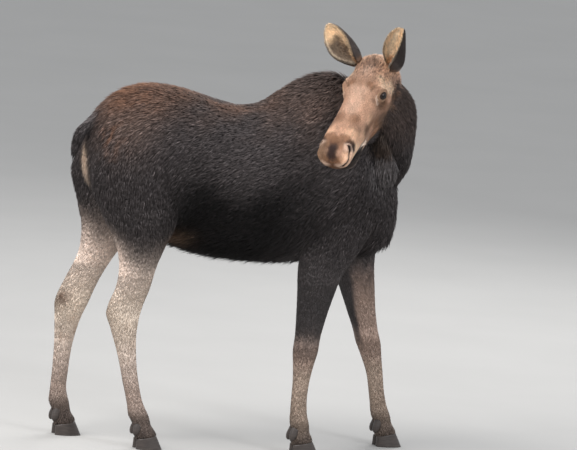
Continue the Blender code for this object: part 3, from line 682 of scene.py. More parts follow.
FACE_FORMS = (   # centre, reach along the head's axes, height of the swelling
    ((0.180, 0.100, -0.014), (0.034, 0.030, 0.013), 0.0060),    # brow
    ((0.192, 0.108, -0.052), (0.024, 0.030, 0.021), -0.0110),   # socket
    ((0.232, 0.090, -0.072), (0.022, 0.030, 0.016), -0.0035),   # in front of the eye
    ((0.215, 0.096, -0.098), (0.060, 0.040, 0.014), 0.0050),    # cheek ridge
    ((0.100, 0.090, -0.030), (0.030, 0.030, 0.022), -0.0045),   # temple
    ((0.030, 0.090, -0.055), (0.034, 0.034, 0.034), 0.0050),    # ear base
    ((0.330, 0.078, -0.055), (0.075, 0.030, 0.020), -0.0040),   # side of the nose
    ((0.455, 0.000, -0.004), (0.060, 0.050, 0.030), 0.0035),    # hump of the nose
    ((0.566, 0.050, -0.042), (0.030, 0.020, 0.032), 0.0050),    # wing of the nostril
    ((0.560, 0.098, -0.075), (0.030, 0.020, 0.020), 0.0020),    # behind the nostril
    ((0.575, 0.000, -0.045), (0.040, 0.017, 0.045), -0.0050),   # furrow between the nostrils
    ((0.505, 0.079, -0.052), (0.016, 0.020, 0.014), -0.0035),   # hollow above the nostril
    ((0.470, 0.070, -0.112), (0.050, 0.030, 0.018), 0.0030),    # upper lip
    ((0.575, 0.000, -0.112), (0.030, 0.060, 0.010), 0.0025),    # rim of the upper lip
    ((0.490, 0.015, -0.205), (0.050, 0.045, 0.022), 0.0060),    # chin
    ((0.386, 0.046, -0.166), (0.016, 0.020, 0.012), 0.0060),    # corner of the mouth
    ((0.140, 0.000, 0.012), (0.050, 0.030, 0.030), 0.0030),     # top of the forehead
)
CREASES = (   # line, half width, depth; a negative depth stands out
    (BROW_CREASE, 0.0045, 0.0035),
    (LOWER_CREASE, 0.0040, 0.0030),
    (TEAR_LINE, 0.0035, -0.0020),
)
FLATTENED = np.array((1, 0.35, 1))   # lines are followed by side view more than by depth


def mirrored(local):
    """Head coordinates with the right half folded onto the left."""
    return local * (1, 0, 1) + np.abs(local) * (0, 1, 0)


def line_distance(folded, line):
    """distance_to_line with the sideways part of every distance scaled down, as FLATTENED says."""
    return distance_to_line(folded * FLATTENED, line * FLATTENED)


def face_relief(local):
    """How far the skin of the head stands out or in: the sum of the face's forms, with slits along the
    nostrils and the mouth and raised rims beside them."""
    folded = mirrored(local)
    push = np.zeros(len(local))
    for centre, reach, height in FACE_FORMS:
        push += height * blob(folded, centre, reach)
    away, along = line_distance(folded, NOSTRIL)
    wide = 0.0048 * (0.75 + 0.5 * np.sin(math.pi * along))
    push += 0.0030 * np.exp(-(((away - 2.3 * wide) / wide) ** 2))
    push -= 0.0140 * np.exp(-((away / wide) ** 2))
    for line, half, depth in CREASES:
        away, _ = line_distance(folded, line)
        push -= depth * np.exp(-((away / half) ** 2))
    away, along = line_distance(folded, LIP_EDGE)
    push -= 0.0060 * np.exp(-((away / 0.0045) ** 2)) * smooth(0, 0.08, along)
    away, _ = line_distance(folded, MOUTH)
    push -= 0.0065 * np.exp(-((away / 0.0045) ** 2))
    away, _ = line_distance(folded, LOWER_LIP)
    push += 0.0030 * np.exp(-((away / 0.0060) ** 2))
    return push


def refine_face(mesh):
    """Cuts the faces round the nostrils, the mouth and the eyes in four, and evens out the new points."""
    centres = np.empty(len(mesh.polygons) * 3, np.float32)
    mesh.polygons.foreach_get("center", centres)
    folded = mirrored(to_head(centres.reshape(-1, 3).astype(float)))
    near = (line_distance(folded, NOSTRIL)[0] < 0.026) | (line_distance(folded, MOUTH)[0] < 0.016)
    near |= (line_distance(folded, LIP_EDGE)[0] < 0.012) | (line_distance(folded, LOWER_LIP)[0] < 0.010)
    near |= np.linalg.norm(folded - EYE, axis=1) < 0.040
    near &= (folded[:, 0] > 0.10) & (folded[:, 2] > -0.25) & (folded[:, 1] < 0.13)
    work = bmesh.new()
    work.from_mesh(mesh)
    work.faces.ensure_lookup_table()
    chosen = {edge for index in np.flatnonzero(near) for edge in work.faces[index].edges}
    bmesh.ops.subdivide_edges(work, edges=list(chosen), cuts=1, use_grid_fill=True)
    bmesh.ops.triangulate(work, faces=[face for face in work.faces if len(face.verts) > 4])
    work.to_mesh(mesh)
    work.free()
    points, _ = points_of(mesh)
    evened = spread(points, edges_of(mesh), 2)
    folded = mirrored(to_head(points))
    fine = (folded[:, 0] > 0.10) & (folded[:, 0] < 0.65) & (folded[:, 1] < 0.13) & (folded[:, 2] > -0.25)
    points[fine] = evened[fine]
    mesh.vertices.foreach_set("co", points.astype(np.float32).ravel())
    mesh.update()


def build_skin():
    """All forms made one closed skin by voxels, evened out, thinned except on the head, then given
    muscle forms and the face's relief. Returns the mesh in body coordinates."""
    points, faces, first = [], [], 0
    for form in FORMS.values():
        p, (quads, fans) = closed_tube(form.rings)
        points.append(p)
        faces += [quads + first, fans + first]
        first += len(p)
    hide = make("skin_forms", np.concatenate(points), faces, shift=False)
    union = hide.modifiers.new("Union", "REMESH")
    union.mode = "VOXEL"
    union.voxel_size = VOXEL
    mesh = evaluated(hide)
    points, _ = points_of(mesh)
    local = to_head(points)
    on_head = head_share(points)
    edges = edges_of(mesh)
    fine = spread(points, edges, 7)
    coarse = spread(fine, edges, 16)
    points = fine * on_head[:, None] + coarse * (1 - on_head[:, None])
    mesh.vertices.foreach_set("co", points.astype(np.float32).ravel())
    mesh.update()
    hide = bpy.data.objects.new("skin", mesh)
    bpy.context.scene.collection.objects.link(hide)
    keep = hide.vertex_groups.new(name="body")
    body_weight = 1 - smooth(-0.06, 0.02, local[:, 0]) * on_head
    weights = np.round(body_weight, 1)
    for level in np.unique(weights[weights > 0]):
        keep.add(np.flatnonzero(weights == level).tolist(), float(level), "REPLACE")
    thin = hide.modifiers.new("Thin", "DECIMATE")
    thin.vertex_group = "body"
    thin.ratio = SKIN_TRIANGLES / (2 * len(mesh.polygons))
    mesh = evaluated(hide)
    refine_face(mesh)
    points, _ = points_of(mesh)
    x, _, z = points.T
    haunch = smooth(1.00, 1.12, z) * smooth(-0.80, -0.72, x) * smooth(0.0, -0.2, x)
    soft = spread(points, edges_of(mesh), 40)
    mesh.vertices.foreach_set("co", mix(points, soft, haunch).astype(np.float32).ravel())
    mesh.update()
    points, normals = points_of(mesh)
    push = swelling(points, BODY_FORMS)
    local = to_head(points)
    a, b, c = local.T
    inside = (a > -0.05) & (a < 0.65) & (np.abs(b) < 0.14) & (c > -0.30)
    push[inside] += face_relief(local[inside])
    points += normals * push[:, None]
    mesh.vertices.foreach_set("co", points.astype(np.float32).ravel())
    mesh.update()
    return mesh


def head_share(points):
    """1 on the head, 0 on the body, with a soft change over the back of the skull."""
    local = to_head(points)
    near = (np.abs(local[:, 1]) < 0.15) & (local[:, 2] > -0.33) & (local[:, 2] < 0.06) & (local[:, 0] < 0.66)
    back = smooth(-0.06, 0.03, local[:, 0] + 0.35 * (local[:, 2] + 0.10))
    return np.where(near, back, 0.0)


def nearest_form(points):
    """For each point, the number of the form nearest to it and the number of the nearest ring there."""
    labels, rows, spots = [], [], []
    for number, form in enumerate(FORMS.values()):
        count, around = form.rings.shape[:2]
        labels.append(np.full(count * around // 2, number))
        rows.append(np.repeat(np.arange(count), around // 2))
        spots.append(form.rings[:, ::2].reshape(-1, 3))
    labels, rows, spots = np.concatenate(labels), np.concatenate(rows), np.concatenate(spots)
    tree = KDTree(len(spots))
    for index, spot in enumerate(spots.tolist()):
        tree.insert(spot, index)
    tree.balance()
    found = np.array([tree.find(p)[1] for p in points.tolist()])
    return labels[found], rows[found]


class Hide:
    """The skin's mesh with what the coat needs at each vertex: the nearest form and each form's share,
    the lie of the hair, how far along and around its form the vertex is, and the markings."""

    def __init__(self, mesh):
        """Reads the mesh, then takes each vertex's values from the nearest ring of the nearest form and
        evens them out over the skin, so the hair turns smoothly from one part to the next."""
        self.mesh = mesh
        self.points, self.normals = points_of(mesh)
        mesh.calc_loop_triangles()
        corners = np.empty(len(mesh.loop_triangles) * 3, np.int32)
        mesh.loop_triangles.foreach_get("vertices", corners)
        self.triangles = corners.reshape(-1, 3)
        edges = edges_of(mesh)
        self.local = to_head(self.points)
        self.label, row = nearest_form(self.points)
        lie = np.zeros_like(self.points)
        self.along = np.zeros(len(self.points))
        self.around = np.zeros(len(self.points))
        for number, form in enumerate(FORMS.values()):
            mine = np.flatnonzero(self.label == number)
            r = row[mine]
            lie[mine] = form.lie[r]
            away = self.points[mine] - form.centres[r]
            run = np.gradient(form.centres, axis=0)[r]
            pitch = np.maximum((run * run).sum(1), 1e-9)
            self.along[mine] = (r + np.clip((away * run).sum(1) / pitch, -0.5, 0.5)) / len(form.centres)
            angle = np.arctan2((away * form.ups[r]).sum(1), (away * form.sides[r]).sum(1))
            self.around[mine] = (angle + math.pi / 2) % (2 * math.pi) / (2 * math.pi)
        share = np.eye(len(FORMS))[self.label]
        share = spread(share, edges, 24)
        self.share = {name: share[:, i] for i, name in enumerate(FORMS)}
        lie = unit(spread(lie, edges, 40))
        body = smooth(0.95, 1.15, self.points[:, 2]) * (1 - head_share(self.points))
        lie = mix(lie, unit(spread(lie, edges, 140)), body)
        lie -= (lie * self.normals).sum(1)[:, None] * self.normals
        self.lie = unit(lie)
        self.colour = markings(self)


# ---------------------------------------------------------------- markings
SOOT = paint(66, 61, 61)
SOOT_BROWN = paint(72, 60, 55)
RUMP_BROWN = paint(112, 80, 62)
# Blackish coat, darkened further to stand for the shade on the lower trunk
BELLY_BLACK_AND_SHADE = paint(15, 13, 13)
GROIN_TAN = paint(150, 122, 100)
CREAM = paint(226, 200, 178)
HIND_TAN = paint(230, 209, 196)
HOCK_PALE = paint(250, 230, 210)
LEG_SOOT = paint(74, 69, 69)
FORE_GREY = paint(198, 176, 158)
KNEE_TAN = paint(182, 156, 142)
PASTERN_GREY = paint(88, 77, 72)
FACE_TAN = paint(176, 140, 114)
NOSE_BROWN = paint(120, 86, 66)
PAINTED_SHADE_BROWN = paint(112, 84, 62)
# Painted shade: used in the creases round the eye, the lid's fold and the nose's far wing
CHEEK_DARK = paint(66, 52, 44)
JAW_STREAK = paint(128, 112, 104)
EYE_RING = paint(196, 158, 126)
LIP_PALE = paint(222, 192, 172)
MOUTH_PALE = paint(236, 214, 196)
BROW_PALE = paint(206, 180, 162)
# Dark wet skin at the lid margin, and painted shade in the slits of the nostrils and the mouth
DARK_SKIN_AND_SLIT_SHADE = paint(22, 14, 11)
BELL_BROWN = paint(60, 50, 44)
BELL_GREY = paint(84, 80, 80)


def back_markings(hide, colour, grain, fine):
    """Brown on the back, the rump, the shoulder, the croup and the spine."""
    p = hide.points
    x, _, z = p.T
    colour = mix(colour, SOOT_BROWN, smooth(1.42, 1.62, z + 0.05 * grain) * 0.8)
    rear = blob(p * (1, 0, 1), (-0.62, 0, 1.50), (0.14, 1, 0.13))
    colour = mix(colour, SOOT_BROWN * 2.3, rear * 0.85)
    shoulder = blob(p * (1, 0, 1), (0.26, 0, 1.56), (0.13, 1, 0.10)) * (0.75 + 0.5 * grain)
    colour = mix(colour, SOOT_BROWN * 1.9, np.clip(shoulder, 0, 1) * 0.7)
    croup = blob(p, (-0.56, 0.0, 1.64), (0.17, 0.19, 0.12))
    colour = mix(colour, RUMP_BROWN, np.clip(croup * (0.80 + 0.5 * fine), 0, 1))
    streak = blob(p, (-0.66, -0.16, 1.44), (0.05, 0.08, 0.09)) * smooth(-0.1, 0.5, fine)
    colour = mix(colour, RUMP_BROWN * 1.15, streak * 0.8)
    spine = blob(p * (0, 1, 1), (0, 0, 1.60), (1, 0.10, 0.16)) * smooth(0.30, -0.10, x)
    return mix(colour, RUMP_BROWN, spine * np.clip(0.20 + 0.40 * grain, 0, 1))


def belly_markings(hide, colour, grain):
    """Black and painted shade on the lower flank and the belly, deepest in the fold before the thigh
    and where the skin faces down; tan skin at the groin and pale skin under the tail.
    """
    p = hide.points
    x, y, z = p.T
    # Painted shade: the lower trunk darker, its lowest parts darkest
    low = smooth(1.30, 1.12, z + 0.03 * grain - 0.25 * np.maximum(x, 0)) * smooth(-0.50, -0.25, x)
    low *= 1 - 0.80 * smooth(0.05, 0.50, x)
    colour = mix(colour, BELLY_BLACK_AND_SHADE, low * 0.95)
    # Painted shadow in the fold of the flank in front of the thigh
    hollow = blob(p * (1, 0, 1), (-0.27, 0, 1.13), (0.12, 1, 0.16))
    colour = mix(colour, BELLY_BLACK_AND_SHADE, np.clip(1.3 * hollow, 0, 1) * 0.85 * hide.share["trunk"])
    # Painted shade where the skin faces down
    under = smooth(0.98, 0.90, z) * smooth(-0.45, -0.30, x) * smooth(0.2, -0.3, hide.normals[:, 2])
    colour = mix(colour, BELLY_BLACK_AND_SHADE, under * hide.share["trunk"])
    groin = blob(mirrored(p), (-0.33, 0.15, 0.960), (0.075, 0.08, 0.050))
    colour = mix(colour, GROIN_TAN, np.clip(1.1 * groin, 0, 1) * 0.55)
    under_tail = np.stack([x, np.abs(y - 0.30 * (z - 1.24)), z], -1)
    vulva = blob(under_tail, (-0.76, 0.0, 1.30), (0.05, 0.036, 0.066))
    return mix(colour, CREAM, np.clip(2.2 * vulva, 0, 1) * smooth(1.40, 1.35, z))


def hind_leg_markings(hide, colour, name, grain, fine):
    """Pale grey tan from the thigh down, palest round the hock, with a dark tuft inside the hock, tan
    flecks on the shin and a dark pastern."""
    p = hide.points
    x, y, z = p.T
    leg = hide.share[name]
    start = 1.010 - 0.07 * hide.normals[:, 0] + 0.05 * inner_side(hide, name) + 0.025 * grain
    fade = smooth(start + 0.05, start - 0.24, z + 0.02 * fine)
    colour = mix(colour, HIND_TAN, fade**1.4 * np.clip(leg * 1.6, 0, 1))
    colour = mix(colour, HOCK_PALE, leg * blob(p * (0, 0, 1), (0, 0, 0.60), (1, 1, 0.17)) * 0.9)
    from_line = np.stack([x - leg_x(name, z), np.abs(y), z], -1)
    gland = blob(from_line, (-0.052, 0.138, 0.638), (0.032, 0.03, 0.028))
    colour = mix(colour, NOSE_BROWN, np.clip(1.3 * gland * (1 + 0.6 * fine), 0, 1) * leg * 0.85)
    stain = smooth(0.25, 0.60, ripple(p, 0.055, 6, 2)) * smooth(0.62, 0.52, z) * smooth(0.32, 0.42, z)
    colour = mix(colour, FACE_TAN, leg * stain * 0.45)
    colour = mix(colour, KNEE_TAN, leg * smooth(0.42, 0.22, z) * 0.6)
    return mix(colour, PASTERN_GREY, leg * smooth(0.24, 0.10, z) * (0.85 + 0.15 * fine))


def foreleg_markings(hide, colour, name, fine):
    """Sooty down to the knee, tan below it and higher up on the front and the inner side, grey on the
    shin, and a dark pastern."""
    z = hide.points[:, 2]
    leg = hide.share[name]
    on_leg = np.clip(leg * 1.6, 0, 1)
    colour = mix(colour, LEG_SOOT, on_leg * smooth(1.05, 0.85, z))
    front = smooth(0.1, 0.8, 0.8 * inner_side(hide, name) + 0.7 * hide.normals[:, 0])
    start = 0.57 + 0.28 * front + 0.02 * fine
    fade = smooth(start + 0.06, start - 0.16, z)
    colour = mix(colour, KNEE_TAN, fade**1.5 * on_leg)
    colour = mix(colour, FORE_GREY, leg * smooth(0.44, 0.36, z) * 0.8)
    return mix(colour, PASTERN_GREY, leg * smooth(0.22, 0.08, z) * (0.75 + 0.2 * fine))


def inner_side(hide, name):
    """How far the skin faces the other leg of the pair: the sideways part of its normal."""
    return (1 if name.endswith("right") else -1) * hide.normals[:, 1]


def body_markings(hide):
    """Blackish brown: browner along the back, blackest on flank and belly, where painted shade darkens
    it further. The legs fade to grey tan from the thigh and the knee down, and the groin and the skin
    under the tail are pale."""
    p = hide.points
    z = p[:, 2]
    grain = ripple(p, 0.16, 3)
    fine = ripple(p, 0.035, 4)
    colour = back_markings(hide, np.tile(SOOT, (len(p), 1)), grain, fine)
    colour = belly_markings(hide, colour, grain)
    for name in LEG_LINES:
        if name.startswith("hind"):
            colour = hind_leg_markings(hide, colour, name, grain, fine)
        else:
            colour = foreleg_markings(hide, colour, name, fine)
    tail = SOOT * (0.75 + 0.55 * smooth(1.40, 1.54, z) + 0.20 * fine)[:, None]
    colour = mix(colour, tail, np.clip(1.5 * hide.share["tail"], 0, 1))
    bell = np.clip(hide.share["bell"] * 1.6, 0, 1)
    colour = mix(colour, mix(np.tile(BELL_GREY, (len(p), 1)), BELL_BROWN, smooth(1.36, 1.44, z)), bell)
    return colour * (1 + 0.10 * grain + 0.10 * fine)[:, None]


# Tones of the face, and where each of them lies: forward, aside and up in head axes, and its reach
FACE_TONES = (
    (paint(44, 22, 16), (       # earth: the bare skin between the nostrils
        (0.550, 0.000, -0.022, 0.021), (0.582, 0.000, -0.050, 0.020), (0.514, 0.077, -0.048, 0.013),
    )),
    (paint(76, 49, 35), (       # peat: the end of the band over the nose
        (0.507, 0.066, -0.028, 0.013),
    )),
    (paint(110, 80, 60), (      # bark: side of the nose, below the eye, edge of the cheek
        (0.375, 0.072, -0.090, 0.020), (0.224, 0.089, -0.092, 0.018), (0.127, 0.097, -0.134, 0.016),
    )),
    (paint(130, 92, 66), (      # umber: round the bare skin of the nose
        (0.514, 0.000, -0.010, 0.018), (0.596, 0.000, -0.084, 0.018), (0.594, 0.036, -0.062, 0.015),
    )),
    (paint(150, 110, 84), (     # walnut: band and patch over the nose, side of the nose, lower cheek
        (0.184, 0.046, 0.005, 0.016), (0.376, 0.030, -0.016, 0.026), (0.492, 0.022, -0.009, 0.014),
        (0.490, 0.046, -0.014, 0.013), (0.540, 0.036, -0.017, 0.014), (0.322, 0.078, -0.098, 0.018),
        (0.087, 0.097, -0.114, 0.018), (0.207, 0.095, -0.116, 0.018), (0.290, 0.070, -0.145, 0.020),
        (0.290, 0.050, -0.205, 0.022),
    )),
    (paint(166, 129, 106), (    # hazel: brow, in front of the eye, cheek
        (0.060, 0.015, 0.005, 0.025), (0.186, 0.000, 0.007, 0.022), (0.200, 0.081, -0.014, 0.014),
        (0.236, 0.072, -0.028, 0.018), (0.236, 0.085, -0.068, 0.014), (0.282, 0.080, -0.099, 0.018),
        (0.234, 0.086, -0.118, 0.018), (0.191, 0.094, -0.140, 0.018), (0.350, 0.050, -0.172, 0.018),
        (0.418, 0.062, -0.027, 0.018), (0.568, 0.040, -0.030, 0.013),
    )),
    (paint(187, 149, 125), (    # fawn: between brow and bridge, behind the cheek
        (0.155, 0.012, 0.012, 0.020), (0.150, 0.050, 0.006, 0.018), (0.238, 0.046, -0.012, 0.022),
        (0.378, 0.066, -0.125, 0.018), (0.086, 0.097, -0.072, 0.018),
    )),
    (paint(207, 163, 136), (    # tan: temple, above the eye, sides of the bridge, cheek
        (0.110, 0.046, 0.004, 0.020), (0.100, 0.075, -0.020, 0.020), (0.176, 0.074, -0.003, 0.016),
        (0.284, 0.059, -0.030, 0.022), (0.325, 0.055, -0.034, 0.022), (0.380, 0.000, -0.014, 0.022),
        (0.425, 0.015, -0.011, 0.024), (0.470, 0.000, -0.006, 0.016), (0.383, 0.073, -0.052, 0.022),
        (0.330, 0.070, -0.138, 0.020), (0.275, 0.076, -0.065, 0.018), (0.171, 0.102, -0.110, 0.018),
        (0.050, 0.098, -0.110, 0.020),
    )),
    (paint(212, 174, 150), (    # buff: forehead, top of the bridge, back of the jaw
        (0.110, 0.000, 0.012, 0.025), (0.225, 0.010, -0.001, 0.025), (0.275, 0.000, -0.008, 0.028),
        (0.330, 0.000, -0.013, 0.030), (0.541, 0.058, -0.022, 0.010), (0.056, 0.105, -0.160, 0.022),
    )),
    # Sand on the nostril's wing also stands for a painted highlight
    (paint(232, 188, 156), (    # sand: crown, ear base, wing of the nostril, upper lip
        (0.000, 0.020, -0.010, 0.030), (0.040, 0.060, -0.010, 0.025), (0.045, 0.085, -0.040, 0.025),
        (0.455, 0.045, -0.016, 0.018), (0.460, 0.070, -0.040, 0.018), (0.568, 0.060, -0.038, 0.010),
        (0.584, 0.056, -0.060, 0.012), (0.556, 0.084, -0.066, 0.016), (0.425, 0.074, -0.080, 0.022),
        (0.440, 0.070, -0.118, 0.018), (0.330, 0.076, -0.068, 0.020), (0.118, 0.092, -0.036, 0.016),
    )),
    (paint(247, 212, 180), (    # cream: behind the eye, edge of the upper lip
        (0.132, 0.074, -0.010, 0.018), (0.157, 0.091, -0.016, 0.016), (0.132, 0.100, -0.056, 0.018),
        (0.131, 0.101, -0.086, 0.016), (0.490, 0.078, -0.084, 0.016), (0.535, 0.078, -0.098, 0.018),
    )),
    (paint(128, 100, 82), (     # ash: above the jaw
        (0.140, 0.098, -0.168, 0.022), (0.236, 0.077, -0.153, 0.020),
    )),
    (paint(98, 76, 62), (       # brown of the jaw's side
        (0.190, 0.088, -0.205, 0.026), (0.110, 0.110, -0.210, 0.030), (0.230, 0.060, -0.235, 0.026),
        (0.380, 0.040, -0.200, 0.022),
    )),
    (paint(54, 46, 42), (       # soot: under the jaw and the chin
        (0.150, 0.000, -0.260, 0.050), (0.300, 0.000, -0.240, 0.040), (0.500, 0.000, -0.195, 0.030),
        (0.440, 0.045, -0.195, 0.024),
    )),
)


def blended(local, tones):
    """Colours that pass from place to place: the mean of the tones there, weighted by e^(-(d/reach)^2)
    at distance d plus a little that falls off as 1 / d^6, so nothing is left without a colour."""
    total = np.zeros((len(local), 3))
    weights = np.zeros(len(local))
    for tone, places in tones:
        for forward, aside, up, reach in places:
            away = (((local - (forward, aside, up)) / reach) ** 2).sum(1)
            weight = np.exp(-away) + 1e-3 / (1 + away) ** 3
            total += weight[:, None] * tone
            weights += weight
    return total / weights[:, None]


def brow_markings(local, colour, grain):
    """Dark and pale flecks from the ears to the eyes."""
    a, _, c = local.T
    rough = smooth(0.190, 0.120, a + 0.015 * grain) * smooth(-0.075, -0.020, c) * smooth(-0.02, 0.02, a)
    flecks = ripple(local * (0.6, 1, 1), 0.017, 16, 2)
    colour = mix(colour, CHEEK_DARK, rough * smooth(0.18, 0.55, flecks) * 0.65)
    return mix(colour, BROW_PALE, rough * smooth(-0.25, -0.60, flecks) * 0.35)


def jaw_markings(local, colour):
    """A grey streak along the jaw, a grey chin and painted shadow in the gap between the lips."""
    a, _, c = local.T
    jaw_grain = smooth(0.1, 0.5, ripple(local * (0.3, 1, 1), 0.014, 17, 2))
    streak_line = np.interp(a, [0.20, 0.38], [-0.205, -0.165])
    streak = np.exp(-(((c - streak_line) / 0.014) ** 2)) * smooth(0.17, 0.24, a) * smooth(0.40, 0.36, a)
    colour = mix(colour, JAW_STREAK, streak * jaw_grain * 0.7)
    colour = mix(colour, JAW_STREAK, smooth(-0.184, -0.200, c) * smooth(0.37, 0.42, a) * 0.65)
    # Painted shadow in the gap between the lips
    gap = smooth(-0.168, -0.160, c) * smooth(-0.130, -0.138, c) * smooth(0.40, 0.45, a)
    return mix(colour, DARK_SKIN_AND_SLIT_SHADE, gap * 0.9)


def lip_markings(local, colour):
    """Pale rims on both lips, a pale corner of the mouth, and painted shade in the slits between the lips."""
    a, _, c = local.T
    folded = mirrored(local)
    edge = np.exp(-(((c + 0.119) / 0.0055) ** 2)) * smooth(0.50, 0.54, a)
    colour = mix(colour, LIP_PALE, edge * 0.9)
    away, along = line_distance(folded, LOWER_LIP)
    colour = mix(colour, LIP_PALE, np.exp(-((away / 0.0060) ** 2)) * smooth(0.45, 0.15, along) * 0.85)
    corner = blob(folded, (0.388, 0.044, -0.166), (0.024, 0.030, 0.012))
    colour = mix(colour, MOUTH_PALE, np.clip(1.4 * corner, 0, 1) * 0.95)
    # Painted shade in the slits along the lip's edge and the mouth
    for slit, half in ((LIP_EDGE, 0.0035), (MOUTH, 0.0050)):
        away, _ = line_distance(folded, slit)
        colour = mix(colour, DARK_SKIN_AND_SLIT_SHADE, smooth(half + 0.0018, half - 0.0012, away) * 0.92)
    return colour


def nostril_and_eye_lines(local, colour):
    """Painted shade in the nostril's slit with a pale rim beside it, pale hair that on the wing is
    also a painted highlight; painted shade in the creases round the eye; and a pale tear line.
    """
    folded = mirrored(local)
    away, _ = line_distance(folded, NOSTRIL)
    # Pale rim along the nostril: pale hair, and on the wing a painted highlight
    colour = mix(colour, LIP_PALE, np.exp(-(((away - 0.0105) / 0.0038) ** 2)) * 0.6)
    # Painted shade in the nostril's slit
    colour = mix(colour, DARK_SKIN_AND_SLIT_SHADE, smooth(0.0066, 0.0050, away))
    # Painted shade in the creases round the eye
    for line, half, share in ((BROW_CREASE, 0.0050, 0.95), (LOWER_CREASE, 0.0040, 0.75)):
        away, along = line_distance(folded, line)
        ends = smooth(0, 0.2, along) * smooth(1, 0.75, along)
        colour = mix(colour, PAINTED_SHADE_BROWN, np.exp(-((away / half) ** 2)) * share * ends)
    away, _ = line_distance(folded, TEAR_LINE)
    return mix(colour, MOUTH_PALE, np.exp(-((away / 0.0034) ** 2)) * 0.6)


def face_markings(hide):
    """Browns and tans that pass from place to place, dark flecks on the brow, painted shade on the far
    wing of the nose, and thin lines along the nostrils and the mouth, the dark ones painted shade in
    the slits."""
    local = hide.local
    a, b, _ = local.T
    grain = ripple(local, 0.05, 11)
    fine = ripple(local * (0.35, 1, 1), 0.011, 12)
    mottle = ripple(local * (0.45, 1, 1), 0.030, 18, 3)
    bend = np.stack([ripple(local, 0.022, seed, 2) for seed in (13, 14, 15)], -1)
    colour = blended(mirrored(local) + 0.0035 * bend, FACE_TONES)
    # Painted shade: the nose's far wing, turned from the light, darker than the near one
    far_wing_shade = smooth(-0.012, -0.045, b) * smooth(0.49, 0.54, a)
    colour = mix(colour, PAINTED_SHADE_BROWN, far_wing_shade * 0.85)
    colour = brow_markings(local, colour, grain)
    colour = jaw_markings(local, colour)
    colour = lip_markings(local, colour)
    colour = nostril_and_eye_lines(local, colour)
    return colour * (1 + 0.05 * grain + 0.10 * fine + 0.16 * mottle)[:, None]


def markings(hide):
    """The body's colours, giving way to the head's over the back of the skull."""
    head = np.clip(1.4 * (hide.share["skull"] + hide.share["jaw"]) - 0.2, 0, 1)
    return mix(body_markings(hide), face_markings(hide), head)


# ---------------------------------------------------------------- materials
def procedural(name, attribute=None, colour=(0.5, 0.5, 0.5), roughness=0.6, specular=0.4, turn=(0, 0, 0),
               stretch=(60, 60, 60), mottle=0.2, bump=0.0, bump_depth=0.001):
    """A Principled material: a vertex colour or a plain one, mottled by stretched noise on Object
    coordinates, with the same noise as bump."""
    material = bpy.data.materials.new(name)
    material.use_nodes = True
    nodes, links = material.node_tree.nodes, material.node_tree.links
    shader = nodes["Principled BSDF"]
    shader.inputs["Roughness"].default_value = roughness
    shader.inputs["Specular IOR Level"].default_value = specular
    place = nodes.new("ShaderNodeTexCoord")
    mapping = nodes.new("ShaderNodeMapping")
    mapping.vector_type = "TEXTURE" if any(turn) else "POINT"
    if any(turn):
        mapping.inputs["Rotation"].default_value = turn
        scale = nodes.new("ShaderNodeMapping")
        scale.inputs["Scale"].default_value = stretch
        links.new(mapping.outputs[0], scale.inputs[0])
    else:
        mapping.inputs["Scale"].default_value = stretch
        scale = mapping
    links.new(place.outputs["Object"], mapping.inputs[0])
    noise = nodes.new("ShaderNodeTexNoise")
    noise.inputs["Scale"].default_value = 1.0
    noise.inputs["Detail"].default_value = 4.0
    links.new(scale.outputs[0], noise.inputs["Vector"])
    spread_out = nodes.new("ShaderNodeMapRange")
    spread_out.inputs["From Min"].default_value = 0.3
    spread_out.inputs["From Max"].default_value = 0.7
    spread_out.inputs["To Min"].default_value = 1 - mottle
    spread_out.inputs["To Max"].default_value = 1 + mottle
    links.new(noise.outputs["Fac"], spread_out.inputs["Value"])
    times = nodes.new("ShaderNodeVectorMath")
    times.operation = "SCALE"
    if attribute:
        source = nodes.new("ShaderNodeAttribute")
        source.attribute_name = attribute
        links.new(source.outputs["Color"], times.inputs[0])
    else:
        times.inputs[0].default_value = colour
    links.new(spread_out.outputs[0], times.inputs["Scale"])
    links.new(times.outputs[0], shader.inputs["Base Color"])
    if bump:
        relief = nodes.new("ShaderNodeBump")
        relief.inputs["Strength"].default_value = bump
        relief.inputs["Distance"].default_value = bump_depth
        links.new(noise.outputs["Fac"], relief.inputs["Height"])
        links.new(relief.outputs[0], shader.inputs["Normal"])
    return material


HEAD_TURN = tuple(Matrix(HEAD.T.tolist()).to_euler())
COAT_HAIR = procedural("coat_hair", "coat", roughness=0.52, specular=0.20, stretch=(90, 90, 90), mottle=0.25)
FACE_HAIR = procedural("face_hair", "coat", roughness=0.60, specular=0.30, stretch=(160, 160, 160),
                       mottle=0.15)
BODY_SKIN = procedural("body_skin", "coat", roughness=0.70, specular=0.2, stretch=(40, 160, 160), mottle=0.3,
                       bump=0.6, bump_depth=0.004)
LEG_SKIN = procedural("leg_skin", "coat", roughness=0.65, specular=0.25, stretch=(420, 420, 60), mottle=0.2,
                      bump=0.7, bump_depth=0.0012)
FACE_SKIN = procedural("face_skin", "coat", roughness=0.60, specular=0.3, turn=HEAD_TURN,
                       stretch=(110, 520, 520), mottle=0.18, bump=0.6, bump_depth=0.0008)
HORN = procedural("hoof_horn", colour=paint(62, 54, 50), roughness=0.42, specular=0.5, stretch=(30, 30, 260),
                  mottle=0.35, bump=0.5, bump_depth=0.0008)
EYE_SHINE = procedural("wet_eye", "coat", roughness=0.08, specular=0.35, stretch=(300, 300, 300), mottle=0.1)


